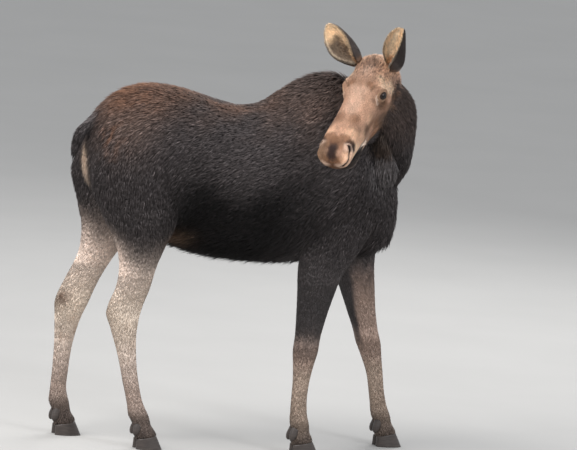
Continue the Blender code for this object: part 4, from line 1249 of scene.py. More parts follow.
# ---------------------------------------------------------------- coat
ONE_RING = ((0.0, 0.0), (0.38, 1.0), (1.0, 0.0))                # part of the length, part of the width
TWO_RINGS = ((0.0, 0.0), (0.25, 1.0), (0.62, 0.80), (1.0, 0.0))
FLAKE = ((0.0, 0.0), (0.42, 1.0), (1.0, 0.0))                   # a ring of two points: the shortest hair
PATCH = 0.003                                                   # size of a tuft on the coat's unwrap
MAP_EDGE = 0.004                                                # the unwrap's empty border, and its width
MAP_SPAN = 0.990


def tuft_faces(ring_count, ridged):
    """Triangles of one spindle: point 0, then rings of three points, then the tip. Without a ridge it is
    the flattest solid, of four triangles."""
    if not ridged:
        return np.array([(0, 1, 2), (1, 3, 2), (0, 2, 3), (0, 3, 1)])
    faces = []
    for k in range(3):
        n = (k + 1) % 3
        faces.append((0, 1 + k, 1 + n))
        for r in range(ring_count - 1):
            a, b = 1 + 3 * r, 4 + 3 * r
            faces += [(a + k, b + k, b + n), (a + k, b + n, a + n)]
        end = 1 + 3 * (ring_count - 1)
        faces.append((end + k, 1 + 3 * ring_count, end + n))
    return np.array(faces)


def share_inside(root, way):
    """How much of each way from its root stays 2 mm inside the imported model's box, at most 1."""
    low, high = (np.array(corner) - SHIFT for corner in SOLID_BOX)
    room = np.where(way > 0, high - 0.002 - root, root - low - 0.002)
    return np.clip((room / np.maximum(np.abs(way), 1e-6)).min(1), 0.05, 1)


def grow(name, root, normal, lie, length, width, rise, sway, colour, unwrap, profile=ONE_RING,
         material=COAT_HAIR, tip_pale_and_sheen=1.25, root_shade=0.55):
    """Solid tufts. Along a tuft, s runs from 0 to 1: its middle line is
    root + lie * length * s + normal * (rise * s^0.8 - sunk * (1 - s)) + side * sway * s^2, and three
    points ring it, two at the sides and one on top. Each tuft is a small patch of the OFBake map. Its
    colour darkens to the root as painted shade and pales to the tip, a paler tip with painted sheen; on
    ridged tufts the top point is painted lighter than the two sides."""
    count = len(root)
    side = unit(np.cross(normal, lie))
    fit = share_inside(root, lie * length[:, None] + normal * rise[:, None] + side * sway[:, None])
    length, rise, sway = length * fit, rise * fit, sway * fit
    sunk = 0.10 * width + 0.0008
    tip_pale_and_sheen, root_shade = np.zeros(count) + tip_pale_and_sheen, np.zeros(count) + root_shade
    points, shade, flat = [], [], []
    for s, part in profile:
        middle = (
            root
            + lie * (length * s)[:, None]
            + normal * (rise * s**0.8 - sunk * (1 - s))[:, None]
            + side * (sway * s * s)[:, None]
        )
        # Painted shade toward the root, and a paler tip that also stands for sheen
        tone = root_shade + (1 - root_shade) * min(s / 0.38, 1) + (tip_pale_and_sheen - 1) * max(s - 0.38, 0) / 0.62
        if part == 0:
            points.append(middle)
            shade.append(tone)
            flat.append((0.5, s))
            continue
        half = width * part / 2
        thick = 0.42 * width * part
        if profile is FLAKE:
            middle = middle + normal * (0.3 * thick)[:, None]
            points += [middle + side * half[:, None], middle - side * half[:, None]]
            shade += [tone, tone]
            flat += [(0.0, s), (1.0, s)]
            continue
        points += [
            middle + side * half[:, None],
            middle + normal * thick[:, None],
            middle - side * half[:, None],
        ]
        # Painted light: the top point lighter than the two sides
        shade += [tone * 0.9, tone * 1.08, tone * 0.9]
        flat += [(0.0, s), (0.5, s), (1.0, s)]
    around = len(points)
    points = np.stack(points, 1)
    faces = tuft_faces(len(profile) - 2, profile is not FLAKE)
    corner = points[0][faces] - root[0]
    if np.einsum("ij,ij->", corner[:, 0], np.cross(corner[:, 1], corner[:, 2])) < 0:
        faces = faces[:, ::-1]
    all_faces = (faces[None] + (np.arange(count) * around)[:, None, None]).reshape(-1, 3)
    made = make(name, points.reshape(-1, 3), [all_faces], material)
    tones = np.stack(shade, 1)[:, :, None] * colour[:, None, :]
    set_colour(made, "coat", tones.reshape(-1, 3))
    unwrap_tufts(made, unwrap, np.array(flat), all_faces)
    return made


def unwrap_tufts(made, unwrap, flat, faces):
    """The OFBake map: every tuft is a small square patch, centred at MAP_EDGE + MAP_SPAN times its
    root's place between the lowest and the highest of unwrap."""
    low, high = unwrap.min(0), unwrap.max(0)
    place = MAP_EDGE + MAP_SPAN * (unwrap - low) / np.maximum(high - low, 1e-9)
    spots = place[:, None, :] + PATCH * (flat[None] - (0.5, 0.5))
    layer = made.data.uv_layers.new(name="OFBake")
    layer.data.foreach_set("uv", spots.reshape(-1, 2)[faces.ravel()].astype(np.float32).ravel())


def patches_free_of_hair(local):
    """0 where no hair grows: in the eyes, the nostrils and between the lips. 1 elsewhere."""
    folded = mirrored(local)
    free = smooth(0.018, 0.024, np.linalg.norm(folded - EYE_OPENING, axis=1))
    for line, half in ((NOSTRIL, 0.0062), (LIP_EDGE, 0.0030), (MOUTH, 0.0045)):
        free = free * smooth(half - 0.001, half + 0.002, line_distance(folded, line)[0])
    return free


def coat_sizes(hide):
    """At each vertex of the skin: length, width and rise of a tuft, how much it strays, and how many
    tufts lie over any spot."""
    share = hide.share
    z = hide.points[:, 2]
    a = hide.local[:, 0]
    table = {   # length, width, rise, stray, cover
        "trunk": (0.042, 0.0050, 0.0105, 0.17, 6.2),
        "neck": (0.036, 0.0044, 0.0090, 0.14, 6.2),
        "skull": (0.0115, 0.0026, 0.0018, 0.10, 3.6),
        "jaw": (0.015, 0.0030, 0.0026, 0.12, 3.8),
        "throat": (0.032, 0.0048, 0.008, 0.18, 5.5),
        "tail": (0.050, 0.0050, 0.0060, 0.10, 8.0),
        "bell": (0.050, 0.0050, 0.0105, 0.14, 8.0),
    }
    leg_z = np.array([0.04, 0.16, 0.40, 0.62, 0.85, 1.05, 1.25])
    leg = np.stack([
        np.interp(z, leg_z, [0.018, 0.020, 0.018, 0.020, 0.024, 0.034, 0.042]),
        np.interp(z, leg_z, [0.0030, 0.0030, 0.0028, 0.0030, 0.0038, 0.0046, 0.0050]),
        np.interp(z, leg_z, [0.0020, 0.0018, 0.0006, 0.0007, 0.0022, 0.007, 0.0105]),
        np.interp(z, leg_z, [0.12, 0.10, 0.06, 0.06, 0.09, 0.15, 0.17]),
        np.interp(z, leg_z, [4.2, 4.2, 4.4, 4.6, 5.2, 5.8, 6.2]),
    ], -1)
    total = np.zeros((len(z), 5))
    for name, weight in share.items():
        total += weight[:, None] * (leg if "leg" in name else np.array(table[name]))
    brow = share["skull"] * smooth(0.14, 0.06, a)
    total[:, 0] += 0.010 * brow
    total[:, 2] += 0.0025 * brow
    muzzle = share["skull"] * smooth(0.40, 0.54, a)
    total[:, 0] -= 0.005 * muzzle
    total[:, 1] -= 0.0004 * muzzle
    total[:, 2] -= 0.0008 * muzzle
    crest = blob(hide.points, (0.40, 0.0, 1.74), (0.22, 0.16, 0.10))
    croup = blob(hide.points, (-0.58, 0.0, 1.62), (0.16, 0.18, 0.12))
    total[:, 0] += 0.016 * (crest + croup)
    total[:, 2] += 0.005 * (crest + croup)
    total[:, 3] += 0.10 * (crest + croup)
    belly = share["trunk"] * smooth(0.2, -0.6, hide.normals[:, 2]) * smooth(1.05, 0.90, z)
    total[:, 0] += 0.022 * belly
    total[:, 2] += 0.022 * belly
    return total


def scatter(hide, sizes, chosen, thin=1.0):
    """Roots over the chosen triangles, as many to each as its area and the cover there ask for: even
    steps of the running total, each shaken within its step. Returns triangles and corner weights."""
    corner = hide.triangles[chosen]
    p = hide.points[corner]
    area = np.linalg.norm(np.cross(p[:, 1] - p[:, 0], p[:, 2] - p[:, 0]), axis=1) / 2
    size = sizes[corner].mean(1)
    free = patches_free_of_hair(hide.local[corner].mean(1))
    wanted = np.cumsum(area * size[:, 4] / (size[:, 0] * size[:, 1]) * free * thin)
    count = int(wanted[-1])
    at = (np.arange(count) + rng.random(count)) * wanted[-1] / count
    picked = np.searchsorted(wanted, at).clip(0, len(chosen) - 1)
    u, v = rng.random(count), rng.random(count)
    over = u + v > 1
    u, v = np.where(over, 1 - u, u), np.where(over, 1 - v, v)
    return corner[picked], np.stack([1 - u - v, u, v], -1)


def coat(hide, sizes, name, chosen, profile=ONE_RING, material=COAT_HAIR, thin=1.0):
    """Grows one piece of the coat over the chosen triangles of the skin."""
    corner, weight = scatter(hide, sizes, np.flatnonzero(chosen), thin)

    def at(values):
        """Values at the roots: the corners' values, each times its weight, summed."""
        flat = values[corner]
        return (flat * weight.reshape(weight.shape + (1,) * (flat.ndim - 2))).sum(1)

    root, normal = at(hide.points), unit(at(hide.normals))
    length, width, rise, stray, _ = at(sizes).T
    lie = at(hide.lie)
    lie = unit(lie - (lie * normal).sum(1)[:, None] * normal)
    side = np.cross(normal, lie)
    count = len(root)
    turn = stray * (0.9 * ripple(root, 0.11, 21, 2) + rng.normal(0, 0.55, count))
    lie = unit(lie + side * turn[:, None])
    vary = np.exp(rng.normal(0, 0.16, count))
    # Hair in one lock shares its tone and height
    drawn = root - 0.75 * lie * (root * lie).sum(1)[:, None]
    lock = ripple(root, 0.030, 22, 2) * 0.5 + ripple(drawn, 0.020, 23, 2) * 0.9
    rise = rise * (0.78 + 0.34 * lock) * np.exp(rng.normal(0, 0.22, count))
    rise = np.minimum(rise, 1.35 * at(sizes)[:, 2])
    sway = length * stray * rng.normal(0, 0.35, count)
    fine = np.clip((0.030 - length) / 0.020, 0, 1)
    fine = np.maximum(fine, smooth(0.06, 0.25, at(hide.colour).mean(1)))
    tone = rng.normal(0, 1, count) * (0.25 - 0.19 * fine) + (0.34 - 0.28 * fine) * lock
    flecks = rng.random(count)
    brow = np.clip(1 - np.abs(at(hide.local)[:, 0] - 0.08) / 0.09, 0, 1) * at(hide.share["skull"])
    tone += np.where(flecks < 0.34 * brow, -1.0, 0) + np.where((flecks > 0.94) & (fine < 0.05), 0.50, 0)
    colour = at(hide.colour) * np.exp(tone)[:, None]
    unwrap = np.stack([at(hide.along), hide.around[corner[:, 0]]], -1)
    pale = smooth(0.06, 0.30, colour.mean(1))
    # Painted shade at the roots and a paler tip with painted sheen; pale hair gets less of both
    tip_pale_and_sheen, root_shade = (1.10, 0.80) if material is FACE_HAIR else (1.45, 0.45)
    tip_pale_and_sheen = tip_pale_and_sheen + (1.08 - tip_pale_and_sheen) * pale
    root_shade = root_shade + (0.92 - root_shade) * pale
    piece = grow(name, root, normal, lie, length * vary, width * np.sqrt(vary), rise, sway, colour, unwrap,
                 profile, material, tip_pale_and_sheen, root_shade)
    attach(piece, "root")


LOIN_X = -0.42        # where the trunk's coat is parted into pieces, from rump to shoulder
WAIST_X = -0.05
RIBS_X = 0.32
SHIN_TOP = 0.80       # above this height a leg's coat belongs to the trunk's pieces
BROW_END = 0.17       # how far from the poll the brow's coat reaches


def dress(hide):
    """All pieces of the coat that grow on the skin."""
    sizes = coat_sizes(hide)
    corner = hide.triangles
    label = np.array(FORM_NAMES)[hide.label[corner[:, 0]]]
    x, _, z = hide.points[corner].mean(1).T
    a = hide.local[corner][:, :, 0].mean(1)
    head = label == "skull"
    legs = np.char.find(label.astype(str), "leg") >= 0
    body = (label == "trunk") | (legs & (z > SHIN_TOP))
    coat(hide, sizes, "coat_rump", body & (x < LOIN_X))
    coat(hide, sizes, "coat_flank", body & (x >= LOIN_X) & (x < WAIST_X))
    coat(hide, sizes, "coat_ribs", body & (x >= WAIST_X) & (x < RIBS_X))
    coat(hide, sizes, "coat_shoulder", body & (x >= RIBS_X))
    coat(hide, sizes, "coat_neck", label == "neck")
    coat(hide, sizes, "coat_face", head & (a >= BROW_END), FLAKE, FACE_HAIR)
    coat(hide, sizes, "coat_brow_face", head & (a < BROW_END), FLAKE, FACE_HAIR)
    coat(hide, sizes, "coat_jaw", (label == "jaw") | (label == "throat"), material=FACE_HAIR)
    for name in LEG_LINES:
        coat(hide, sizes, "coat_shin_" + name, (label == name) & (z <= SHIN_TOP), FLAKE, FACE_HAIR)
    coat(hide, sizes, "coat_tail", label == "tail", TWO_RINGS)
    coat(hide, sizes, "coat_bell", label == "bell", TWO_RINGS)


# ---------------------------------------------------------------- skin piece
def flesh_nodes():
    """The CAD nodes that the one skin stands for."""
    return [
        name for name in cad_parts
        if "claw" not in name and not name.startswith(("eye_", "ear_"))
    ]


def skin_piece(hide):
    """The skin as an object, with its markings and a surface for body, legs and face."""
    mesh = hide.mesh
    moved = (hide.points + SHIFT).astype(np.float32)
    mesh.vertices.foreach_set("co", moved.ravel())
    mesh.name = "skin"
    made = bpy.data.objects.new("moose_skin", mesh)
    bpy.context.scene.collection.objects.link(made)
    pale = smooth(0.04, 0.22, hide.colour.mean(1))[:, None]
    set_colour(made, "coat", hide.colour * (0.62 + 0.34 * pale))
    mesh.materials.clear()
    for surface in (BODY_SKIN, LEG_SKIN, FACE_SKIN):
        mesh.materials.append(surface)
    corner = np.empty(len(mesh.loops), np.int32)
    mesh.loops.foreach_get("vertex_index", corner)
    start = np.empty(len(mesh.polygons), np.int32)
    mesh.polygons.foreach_get("loop_start", start)
    first = corner[start]
    on_leg = sum(hide.share[name] for name in LEG_LINES)[first] * (hide.points[first, 2] < 0.85) > 0.4
    on_face = (hide.share["skull"] + hide.share["jaw"])[first] > 0.5
    mesh.polygons.foreach_set("material_index", np.where(on_face, 2, np.where(on_leg, 1, 0)).astype(np.int32))
    mesh.shade_smooth()
    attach(made, "root")
    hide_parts(*flesh_nodes())
    return made


# ---------------------------------------------------------------- eyes
def side_sign(side):
    """1 on the animal's left, where Y is positive, and -1 on its right."""
    return 1 if side == "left" else -1


def eye_frame(side):
    """Centre, outward axis, forward axis and up axis of an eye, in body coordinates."""
    sign = side_sign(side)
    centre = from_head(EYE * (1, sign, 1))
    outward = unit(np.array([0.36, sign * 0.89, 0.24]) @ HEAD)
    up = np.array([-0.20, 0.0, 1.0]) @ HEAD
    up = unit(up - up @ outward * outward)
    forward = np.cross(up, outward) * sign
    return centre, outward, forward, up


def eyeball(side):
    """A sphere with a clear bulge: radius r * (1 + 0.05 e^(-(angle / 0.6)^2)) at an angle from the
    outward axis. The iris and the long dark pupil are painted by that angle."""
    centre, outward, forward, up = eye_frame(side)
    polar = np.linspace(0.02, math.pi - 0.02, 36)
    turn = np.linspace(0, 2 * math.pi, 56, endpoint=False)
    polar_grid, turn_grid = np.meshgrid(polar, turn, indexing="ij")
    radius = EYE_RADIUS * (1 + 0.05 * np.exp(-((polar_grid / 0.6) ** 2)))
    rings = (
        centre
        + (radius * np.cos(polar_grid))[..., None] * outward
        + (radius * np.sin(polar_grid) * np.cos(turn_grid))[..., None] * forward
        + (radius * np.sin(polar_grid) * np.sin(turn_grid))[..., None] * up
    )
    points, faces = closed_tube(rings)
    made = make(f"eyeball_{side}", points, faces, EYE_SHINE)
    local = unit(points - centre)
    out, along, high = local @ outward, local @ forward, local @ up
    colour = np.tile(paint(46, 32, 24), (len(points), 1))
    iris = smooth(0.60, 0.68, out)
    colour = mix(colour, paint(38, 22, 14), iris)
    colour = mix(colour, paint(5, 4, 4), smooth(0.50, 0.40, np.hypot(along * 0.75, high * 1.15)) * (out > 0))
    set_colour(made, "coat", colour)
    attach(made, "root")
    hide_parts("eye_" + side)


LID_SHAPE = [   # part of the way from the margin to the lid's outer edge, height over a straight slope
    (0.00, -0.0030),
    (0.00, -0.0004),
    (0.02, 0.0006),
    (0.08, 0.0016),
    (0.18, 0.0024),
    (0.28, 0.0020),
    (0.36, 0.0004),
    (0.42, -0.0002),
    (0.50, 0.0010),
    (0.62, 0.0018),
    (0.76, 0.0012),
    (0.90, 0.0000),
    (1.00, -0.0016),
    (1.00, -0.0070),
    (0.40, -0.0100),
]
LID_REACH = (0.037, 0.031)          # along the eye and up
OPENING_LENGTH = math.radians(61)   # half angles of the opening: along the eye, up and down
OPENING_ABOVE = math.radians(51)
OPENING_BELOW = math.radians(45)
OPENING_POWER = 1.8                 # 2 would be an ellipse; less is an almond
LID_GAP = 1.06                      # the margin's distance from the eye's middle, in eye radii
LID_TUFTS = 900
LID_HAIR_ROWS = (3.2, 11.8)         # between these rows of LID_SHAPE the lids have hair


def lid_surface(side, hide):
    """Rings of both lids as one collar. At turn u round the eye the opening's angle from the outward axis
    is an almond, (|cos u / A|^n + |sin u / B|^n)^(-1/n); from its margin on the ball the collar runs out
    to an ellipse on the skin, with a fold between."""
    centre, outward, forward, up = eye_frame(side)
    turn = np.linspace(0, 2 * math.pi, 96, endpoint=False)
    c, s = np.cos(turn), np.sin(turn)
    power = OPENING_POWER
    height = np.where(s > 0, OPENING_ABOVE, OPENING_BELOW)
    opening = ((np.abs(c) / OPENING_LENGTH) ** power + (np.abs(s) / height) ** power) ** (-1 / power)
    margin = EYE_RADIUS * LID_GAP
    inner, inner_height = margin * np.sin(opening), margin * np.cos(opening)
    outer = 1 / np.hypot(c / LID_REACH[0], s / LID_REACH[1])
    flat = hide.points - centre
    x, y, h = flat @ forward, flat @ up, flat @ outward
    close = (np.hypot(x, y) < 0.055) & (np.abs(h) < 0.035)
    x, y, h = x[close], y[close], h[close]
    gap = np.hypot(x[None] - (outer * c)[:, None], y[None] - (outer * s)[:, None])
    weight = np.exp(-((gap / 0.004) ** 2)) + 1e-12
    outer_height = (weight * h[None]).sum(1) / weight.sum(1)
    rings = []
    for part, lift in LID_SHAPE:
        radius = inner + (outer - inner) * part
        level = inner_height + (outer_height - inner_height) * part**1.15 + lift
        flat_ring = centre + (radius * c)[:, None] * forward + (radius * s)[:, None] * up
        rings.append(flat_ring + level[:, None] * outward)
    return np.array(rings), outward


def eyelids(side, hide):
    """The lids' collar, closed underneath, with a dark margin, and short hair on it."""
    rings, outward = lid_surface(side, hide)
    count, around = rings.shape[:2]
    points = rings.reshape(-1, 3)
    quads = tube_faces(count + 1, around) % (count * around)
    corner = points[quads] - rings.mean((0, 1))
    if np.einsum("ij,ij->", corner[:, 0], np.cross(corner[:, 1], corner[:, 2])) < 0:
        quads = quads[:, ::-1]
    made = make(f"eyelids_{side}", points, [quads], FACE_SKIN)
    part = np.repeat([p for p, _ in LID_SHAPE], around)
    colour = lid_colour(part, points)
    set_colour(made, "coat", colour * 0.85)
    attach(made, "root")
    roots = LID_TUFTS
    first, last = LID_HAIR_ROWS
    row = first + (last - first) * np.sqrt(rng.random(roots))
    column = rng.random(roots) * around
    i, j = row.astype(int), column.astype(int)
    fi, fj = (row - i)[:, None], (column - j)[:, None]
    near = rings[i, j] * (1 - fj) + rings[i, (j + 1) % around] * fj
    far = rings[i + 1, j] * (1 - fj) + rings[i + 1, (j + 1) % around] * fj
    root = near * (1 - fi) + far * fi
    normal = unit(np.cross(rings[i + 1, j] - rings[i, j], rings[i, (j + 1) % around] - rings[i, j]))
    normal *= np.sign((normal * outward).sum(1))[:, None]
    radial = unit(rings[i + 1, j] - rings[i, j])
    lie = unit(radial * 0.6 - HEAD[0] * 0.8 + 0.12 * rng.normal(size=(roots, 3)))
    lie = unit(lie - (lie * normal).sum(1)[:, None] * normal)
    shade = np.interp(row, np.arange(count), [p for p, _ in LID_SHAPE])
    colour = lid_colour(shade, root) * np.exp(rng.normal(0, 0.09, roots))[:, None]
    length = rng.uniform(0.005, 0.009, roots)
    width = np.full(roots, 0.0016)
    rise = rng.uniform(0.0006, 0.0014, roots)
    sway = rng.normal(0, 0.0006, roots)
    # Lid hair: a little painted shade at the roots and a paler tip
    piece = grow(f"coat_lids_face_{side}", root, normal, lie, length, width, rise, sway, colour,
                 np.stack([row, column], -1), FLAKE, FACE_HAIR, 1.10, 0.85)
    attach(piece, "root")


def lid_colour(part, points):
    """Dark wet margin, tan lid, painted shade in the fold and a pale ring outside it."""
    colour = np.tile(FACE_TAN, (len(points), 1))
    colour = mix(colour, EYE_RING, smooth(0.50, 0.70, part) * 0.7)
    # Painted shade in the lid's fold
    colour = mix(colour, PAINTED_SHADE_BROWN, np.exp(-(((part - 0.40) / 0.09) ** 2)) * 0.75)
    colour = mix(colour, DARK_SKIN_AND_SLIT_SHADE, smooth(0.19, 0.09, part))
    return colour * (1 + 0.06 * ripple(points, 0.012, 41, 2))[:, None]


# ---------------------------------------------------------------- ears
def ear_surface(side, rows=44, columns=37):
    """Middle surface of a cupped ear: at part t of its length an arc of half angle q and radius
    width / 2 * w(t) / sin q, carried along the ear. Returns points, outward normals, t and the place
    across, -1 to 1."""
    base, along, opening, width = EARS[side]
    along = unit(np.array(along) @ HEAD)
    opening = np.array(opening) @ HEAD
    opening = unit(opening - opening @ along * along)
    across = np.cross(along, opening)
    base = from_head(base)
    table = interpolate(EAR_OUTLINE, rows)
    t, part, half_roll = table[:, 0], table[:, 1], np.radians(table[:, 2])
    radius = width / 2 * part / np.sin(np.minimum(half_roll, math.pi / 2))
    place = np.linspace(-1, 1, columns)
    angle = half_roll[:, None] * place
    lift = radius[:, None] * (np.cos(half_roll / 2)[:, None] - np.cos(angle))
    points = (
        base
        + along * (EAR_LENGTH * t)[:, None, None]
        + across * (radius[:, None] * np.sin(angle))[..., None]
        + opening * lift[..., None]
    )
    outward = across * np.sin(angle)[..., None] - opening * np.cos(angle)[..., None]
    return points, outward, t, place


EAR_TAN = paint(228, 195, 157)
EAR_PALE = paint(246, 226, 198)
EAR_CHANNEL = paint(70, 52, 40)
# Painted shade inside the ear's cup
EAR_SHADE = paint(70, 59, 52)
EAR_ORANGE = paint(222, 162, 110)
EAR_BACK = paint(58, 50, 47)
EAR_RIM = paint(40, 33, 30)


def ear(side):
    """The ear's wall, thinner to its rim, as one closed shell, and its hair: short outside, long and
    pale inside, and a fringe along the rim."""
    points, outward, t, place = ear_surface(side)
    rows, columns = points.shape[:2]
    wall = EAR_WALL * (1 - 0.55 * np.abs(place) ** 3) * (1 - 0.35 * t[:, None])
    outer = points + outward * (wall / 2)[..., None]
    inner = points - outward * (wall / 2)[..., None]
    rings = np.concatenate([outer, inner[:, ::-1]], axis=1)
    made_points, faces = closed_tube(rings)
    made = make(f"ear_shell_{side}", made_points, faces, FACE_SKIN)
    across = np.concatenate([place, place[::-1]])
    inside = np.concatenate([np.zeros(columns), np.ones(columns)])
    colour = ear_colour(side, np.repeat(t, 2 * columns), np.tile(across, rows), np.tile(inside, rows),
                        made_points[:-2])
    colour = np.concatenate([colour, colour[:1], colour[-1:]])
    set_colour(made, "coat", colour)
    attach(made, "root")
    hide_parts("ear_" + side)
    ear_hair(side, points, outward, wall)


def ear_colour(side, t, across, inside, points):
    """Inside: tan, pale along the inner rim, a dark channel, painted shade beyond it low in the cup
    and on the left ear's far rim, orange at the base.
    Outside: blackish, tan at the base. A thin dark line follows the whole rim."""
    grain = ripple(points, 0.026, 31, 2)
    streaks = ripple(points * (1, 1, 0.4), 0.010, 32, 2)
    inner = -side_sign(side) * across + 0.06 * grain
    low = smooth(0.80, 0.55, t + 0.05 * grain)
    pale = np.tile(EAR_TAN, (len(t), 1))
    pale = mix(pale, EAR_PALE, blob(np.stack([inner], -1), (0.62,), (0.20,)) * smooth(0.04, 0.2, t) * 0.75)
    # Painted shade low in the cup, on the side away from the inner rim
    pale = mix(pale, EAR_SHADE, smooth(0.10, -0.25, inner) * low * 0.90)
    pale = mix(pale, EAR_CHANNEL, np.exp(-(((inner + 0.08) / 0.16) ** 2)) * low * smooth(0.0, 0.12, t) * 0.85)
    # Painted shade on the left ear's far rim, which is turned from the light
    pale = mix(pale, EAR_SHADE, smooth(-0.45, -0.80, inner) * (0.30 if side == "left" else 0.0))
    pale = mix(pale, EAR_PALE, smooth(-0.76, -0.88, inner) * 0.3)
    pale = mix(pale, EAR_ORANGE, smooth(0.20, 0.04, t) * smooth(-0.2, 0.3, inner) * 0.8)
    pale = pale * (1 + 0.34 * streaks + 0.15 * grain)[:, None]
    back = mix(np.tile(EAR_BACK, (len(t), 1)), FACE_TAN, smooth(0.14, 0.0, t + 0.04 * grain) * 0.35)
    colour = pale * inside[:, None] + back * (1 - inside[:, None])
    rim = smooth(0.93, 0.99, np.abs(across)) + smooth(0.965, 1.0, t)
    return mix(colour, EAR_RIM, np.clip(rim, 0, 1) * 0.75) * (1 + 0.10 * grain)[:, None]


def ear_hair(side, points, outward, wall):
    """Tufts on the ear: three sets that differ in where they root and how they lie."""
    rows, columns = points.shape[:2]
    table = (   # set, roots, face of the wall, length, width, rise, from and to across
        ("back", 5200, 1.0, 0.016, 0.0024, 0.0034, 0.0, 1.0),
        ("inside", 4600, -1.0, 0.024, 0.0023, 0.0040, 0.0, 1.0),
        ("fringe", 1300, 0.0, 0.013, 0.0020, 0.0026, 0.95, 1.0),
    )
    arc = np.linalg.norm(np.diff(points, axis=1), axis=2).sum(1)
    running = np.cumsum(arc) / arc.sum()
    for name, count, face, length, width, rise, low, high in table:
        i = np.interp(rng.random(count) ** 1.25, running, np.arange(rows)) * 0.985
        reach = low + (high - low) * rng.random(count)
        j = (reach * np.where(rng.random(count) < 0.5, -1, 1) + 1) / 2 * (columns - 1)
        i0, j0 = i.astype(int).clip(0, rows - 2), j.astype(int).clip(0, columns - 2)
        fi, fj = (i - i0)[:, None], (j - j0)[:, None]

        def at(grid):
            """Values of the ear's grid at the roots, straight between its four nearest points."""
            low_row = grid[i0, j0] * (1 - fj) + grid[i0, j0 + 1] * fj
            high_row = grid[i0 + 1, j0] * (1 - fj) + grid[i0 + 1, j0 + 1] * fj
            return low_row * (1 - fi) + high_row * fi

        root = at(points)
        out = unit(at(outward))
        thick = at(wall[..., None])[:, 0]
        run = unit(points[i0 + 1, j0] - points[i0, j0])
        edge = np.sign(j / (columns - 1) - 0.5)[:, None] * unit(points[i0, j0 + 1] - points[i0, j0])
        if name == "back":
            lie, normal = run + 0.15 * edge, out
        elif name == "inside":
            lie, normal = run * 0.90 + edge * 0.30, -out
        else:
            lie, normal = run * 0.85 + edge * 0.60, out * rng.choice([-1, 1], count)[:, None]
        lie = unit(lie + 0.11 * rng.normal(size=(count, 3)))
        lie = unit(lie - (lie * normal).sum(1)[:, None] * normal)
        root = root + normal * (np.abs(face) * thick / 2)[:, None]
        across = 2 * j / (columns - 1) - 1
        colour = ear_colour(side, i / (rows - 1), across, np.full(count, 1.0 if face <= 0 else 0.0), root)
        colour = colour * np.exp(rng.normal(0, 0.28 if name == "back" else 0.13, count))[:, None]
        vary = np.exp(rng.normal(0, 0.18, count))
        fade = 1 - 0.4 * (i / (rows - 1)) ** 3
        lift = rise * np.exp(rng.normal(0, 0.3, count))
        sway = length * 0.2 * rng.normal(size=count)
        profile = FLAKE if name == "fringe" else ONE_RING
        # Painted shade at the roots and paler tips with painted sheen
        tip_pale_and_sheen, root_shade = (1.5, 0.6) if name == "back" else (1.15, 0.8)
        piece = grow(f"coat_ear_{side}_{name}", root, normal, lie, length * vary * fade,
                     np.full(count, width), lift, sway, colour, np.stack([i, j], -1), profile, FACE_HAIR,
                     tip_pale_and_sheen, root_shade)
        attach(piece, "root")


# ---------------------------------------------------------------- feet
def foot_place(name):
    """X and Y of the middle of a foot, and 1 for a left foot or -1 for a right one."""
    side = 1 if name.endswith("left") else -1
    table = HIND_FORM if name.startswith("hind") else FORE_FORM
    return float(leg_x(name, FOOT_HEIGHT)), side * table[-1][2], side


def claw(name, word, x, y, out):
    """Half a cloven hoof. At part t of its height its outline goes from a pointed toe to a round heel;
    the sole's edge is rounded under and growth rings run round the wall."""
    rings = []
    turn = np.linspace(0, 2 * math.pi, 48, endpoint=False)
    c, s = np.cos(turn), np.sin(turn)
    wall = [(k / 12, 0.0) for k in range(1, 13)]
    for t, inset in [(0.0, 0.0035), (0.0, 0.0012), (0.03, 0.0), *wall, (1.0, 0.004)]:
        toe = SOLE_TOE + (TOP_TOE - SOLE_TOE) * t - inset
        heel = SOLE_HEEL + (TOP_HEEL - SOLE_HEEL) * t + inset
        wide = CLAW_WIDTH * (1 - CLAW_TAPER * t) - 2 * inset
        ridge = 1 - 0.012 * (0.5 + 0.5 * math.cos(2 * math.pi * 5 * t)) * (0.03 < t < 0.98)
        forward = np.where(c > 0, toe * c, -heel * c) * ridge
        across = CLEFT / 2 + inset + wide * (0.5 + (0.5 * s - 0.2 * np.maximum(c, 0) ** 2) * ridge)
        height = t * (CORONET + CORONET_SLOPE * forward)
        rings.append(np.stack([x + forward, y + out * across, height], -1))
    points, faces = closed_tube(rings)
    made = make(f"hoof_{name}_{word}", points, faces, HORN)
    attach(made, "root")
    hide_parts(f"{name}_claw_{word}")


def dewclaw(name, word, x, y, out):
    """A blunt horn behind the pastern: circles of radius r * sqrt(1 - t^2) that lean back and out."""
    forward, aside, up = DEWCLAW
    rings = []
    turn = np.linspace(0, 2 * math.pi, 24, endpoint=False)
    for t in np.linspace(-0.6, 0.985, 14):
        radius = DEWCLAW_RADIUS * math.sqrt(1 - max(t, 0) ** 2)
        centre = np.array([x + forward - 0.014 * t, y + out * (aside + 0.005 * t), up - DEWCLAW_LENGTH * t])
        rings.append(
            centre
            + np.outer(radius * np.cos(turn), (0, 1, 0))
            + np.outer(radius * 1.2 * np.sin(turn), (0.9, 0, -0.4))
        )
    points, faces = closed_tube(rings)
    made = make(f"dewclaw_{name}_{word}", points, faces, HORN)
    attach(made, "root")
    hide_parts(f"{name}_dewclaw_{word}")


def feet():
    """Two claws and two dewclaws on each foot: the outer half and the inner half."""
    for name in LEG_LINES:
        x, y, side = foot_place(name)
        for word, out in (("outer", side), ("inner", -side)):
            claw(name, word, x, y, out)
            dewclaw(name, word, x, y, out)


# ---------------------------------------------------------------- stage
CAMERA_TURN = math.radians(18)     # the camera stands this far behind the animal's right side
CAMERA_RISE = math.radians(8)
CAMERA_ROLL = math.radians(5)
CAMERA_AWAY = 60.0
METRES_ACROSS = 2.6227             # width of what the camera sees at the animal
SENSOR_MM = 36
AIM_RIGHT = 0.2286                 # the view's middle, along the camera's level right and up axes
AIM_UP = 1.0257


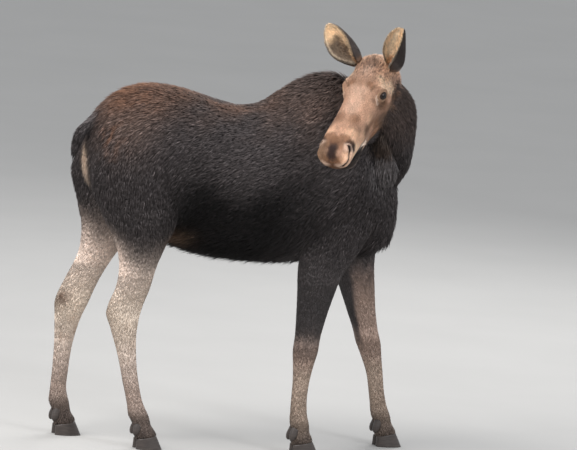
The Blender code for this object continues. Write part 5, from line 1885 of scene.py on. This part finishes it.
def camera_axes():
    """Right, up and back axes of the level camera."""
    a, e = CAMERA_TURN, CAMERA_RISE
    right = np.array([math.cos(a), -math.sin(a), 0])
    up = np.array([math.sin(e) * math.sin(a), math.sin(e) * math.cos(a), math.cos(e)])
    back = np.array([-math.cos(e) * math.sin(a), -math.cos(e) * math.cos(a), math.sin(e)])
    return right, up, back


def camera():
    """A far camera with a long lens, rolled about its own line of sight. The lens is the sensor's width
    times the distance over the width seen there."""
    right, up, back = camera_axes()
    roll = CAMERA_ROLL
    rolled_right = right * math.cos(roll) + up * math.sin(roll)
    rolled_up = up * math.cos(roll) - right * math.sin(roll)
    place = right * AIM_RIGHT + up * AIM_UP + SHIFT + back * CAMERA_AWAY
    data = bpy.data.cameras.new("camera")
    data.sensor_width = SENSOR_MM
    data.lens = SENSOR_MM * CAMERA_AWAY / METRES_ACROSS
    data.clip_end = 200
    made = bpy.data.objects.new("camera", data)
    made.matrix_world = Matrix((
        (rolled_right[0], rolled_up[0], back[0], place[0]),
        (rolled_right[1], rolled_up[1], back[1], place[1]),
        (rolled_right[2], rolled_up[2], back[2], place[2]),
        (0, 0, 0, 1),
    ))
    bpy.context.scene.collection.objects.link(made)
    bpy.context.scene.camera = made


def soft_light(name, way, size, power, colour=(1, 1, 1), away=7.0):
    """A square lamp that looks at the body's middle from the direction way."""
    right, up, back = camera_axes()
    aim = np.array([0.0, 0.0, 1.1])
    direction = unit(right * way[0] + up * way[1] + back * way[2])
    data = bpy.data.lights.new(name, "AREA")
    data.size = size
    data.energy = power
    data.color = colour
    made = bpy.data.objects.new(name, data)
    made.location = Vector(aim + direction * away)
    made.rotation_euler = Vector(direction).to_track_quat("Z", "Y").to_euler()
    bpy.context.scene.collection.objects.link(made)


def stage():
    """A pale floor, an even pale sky and three soft lamps."""
    floor_finish = procedural("pale_floor", colour=(0.40, 0.392, 0.38), roughness=0.85, specular=0.2,
                              stretch=(1.5, 1.5, 1.5), mottle=0.02)
    reach = 60.0
    corners = [(-reach, -reach, 0), (reach, -reach, 0), (reach, reach, 0), (-reach, reach, 0)]
    floor = make("floor", corners, [np.array([[0, 1, 2, 3]])], floor_finish, shift=False)
    world = bpy.data.worlds.new("soft_sky")
    world.use_nodes = True
    sky = world.node_tree.nodes["Background"]
    sky.inputs["Color"].default_value = (0.93, 0.96, 1.0, 1)
    sky.inputs["Strength"].default_value = 0.82
    bpy.context.scene.world = world
    soft_light("key", (-0.55, 0.80, 0.55), 4.5, 620, (1.0, 0.985, 0.965))
    soft_light("fill", (0.75, 0.40, 0.75), 1.8, 160, (0.95, 0.97, 1.0))
    soft_light("back", (0.30, 0.70, -0.85), 3.5, 220)
    bpy.context.scene.view_settings.view_transform = "Standard"


# ---------------------------------------------------------------- putting it together
hide = Hide(build_skin())
skin_piece(hide)
dress(hide)
for side in ("left", "right"):
    eyeball(side)
    eyelids(side, hide)
    ear(side)
feet()
stage()
camera()
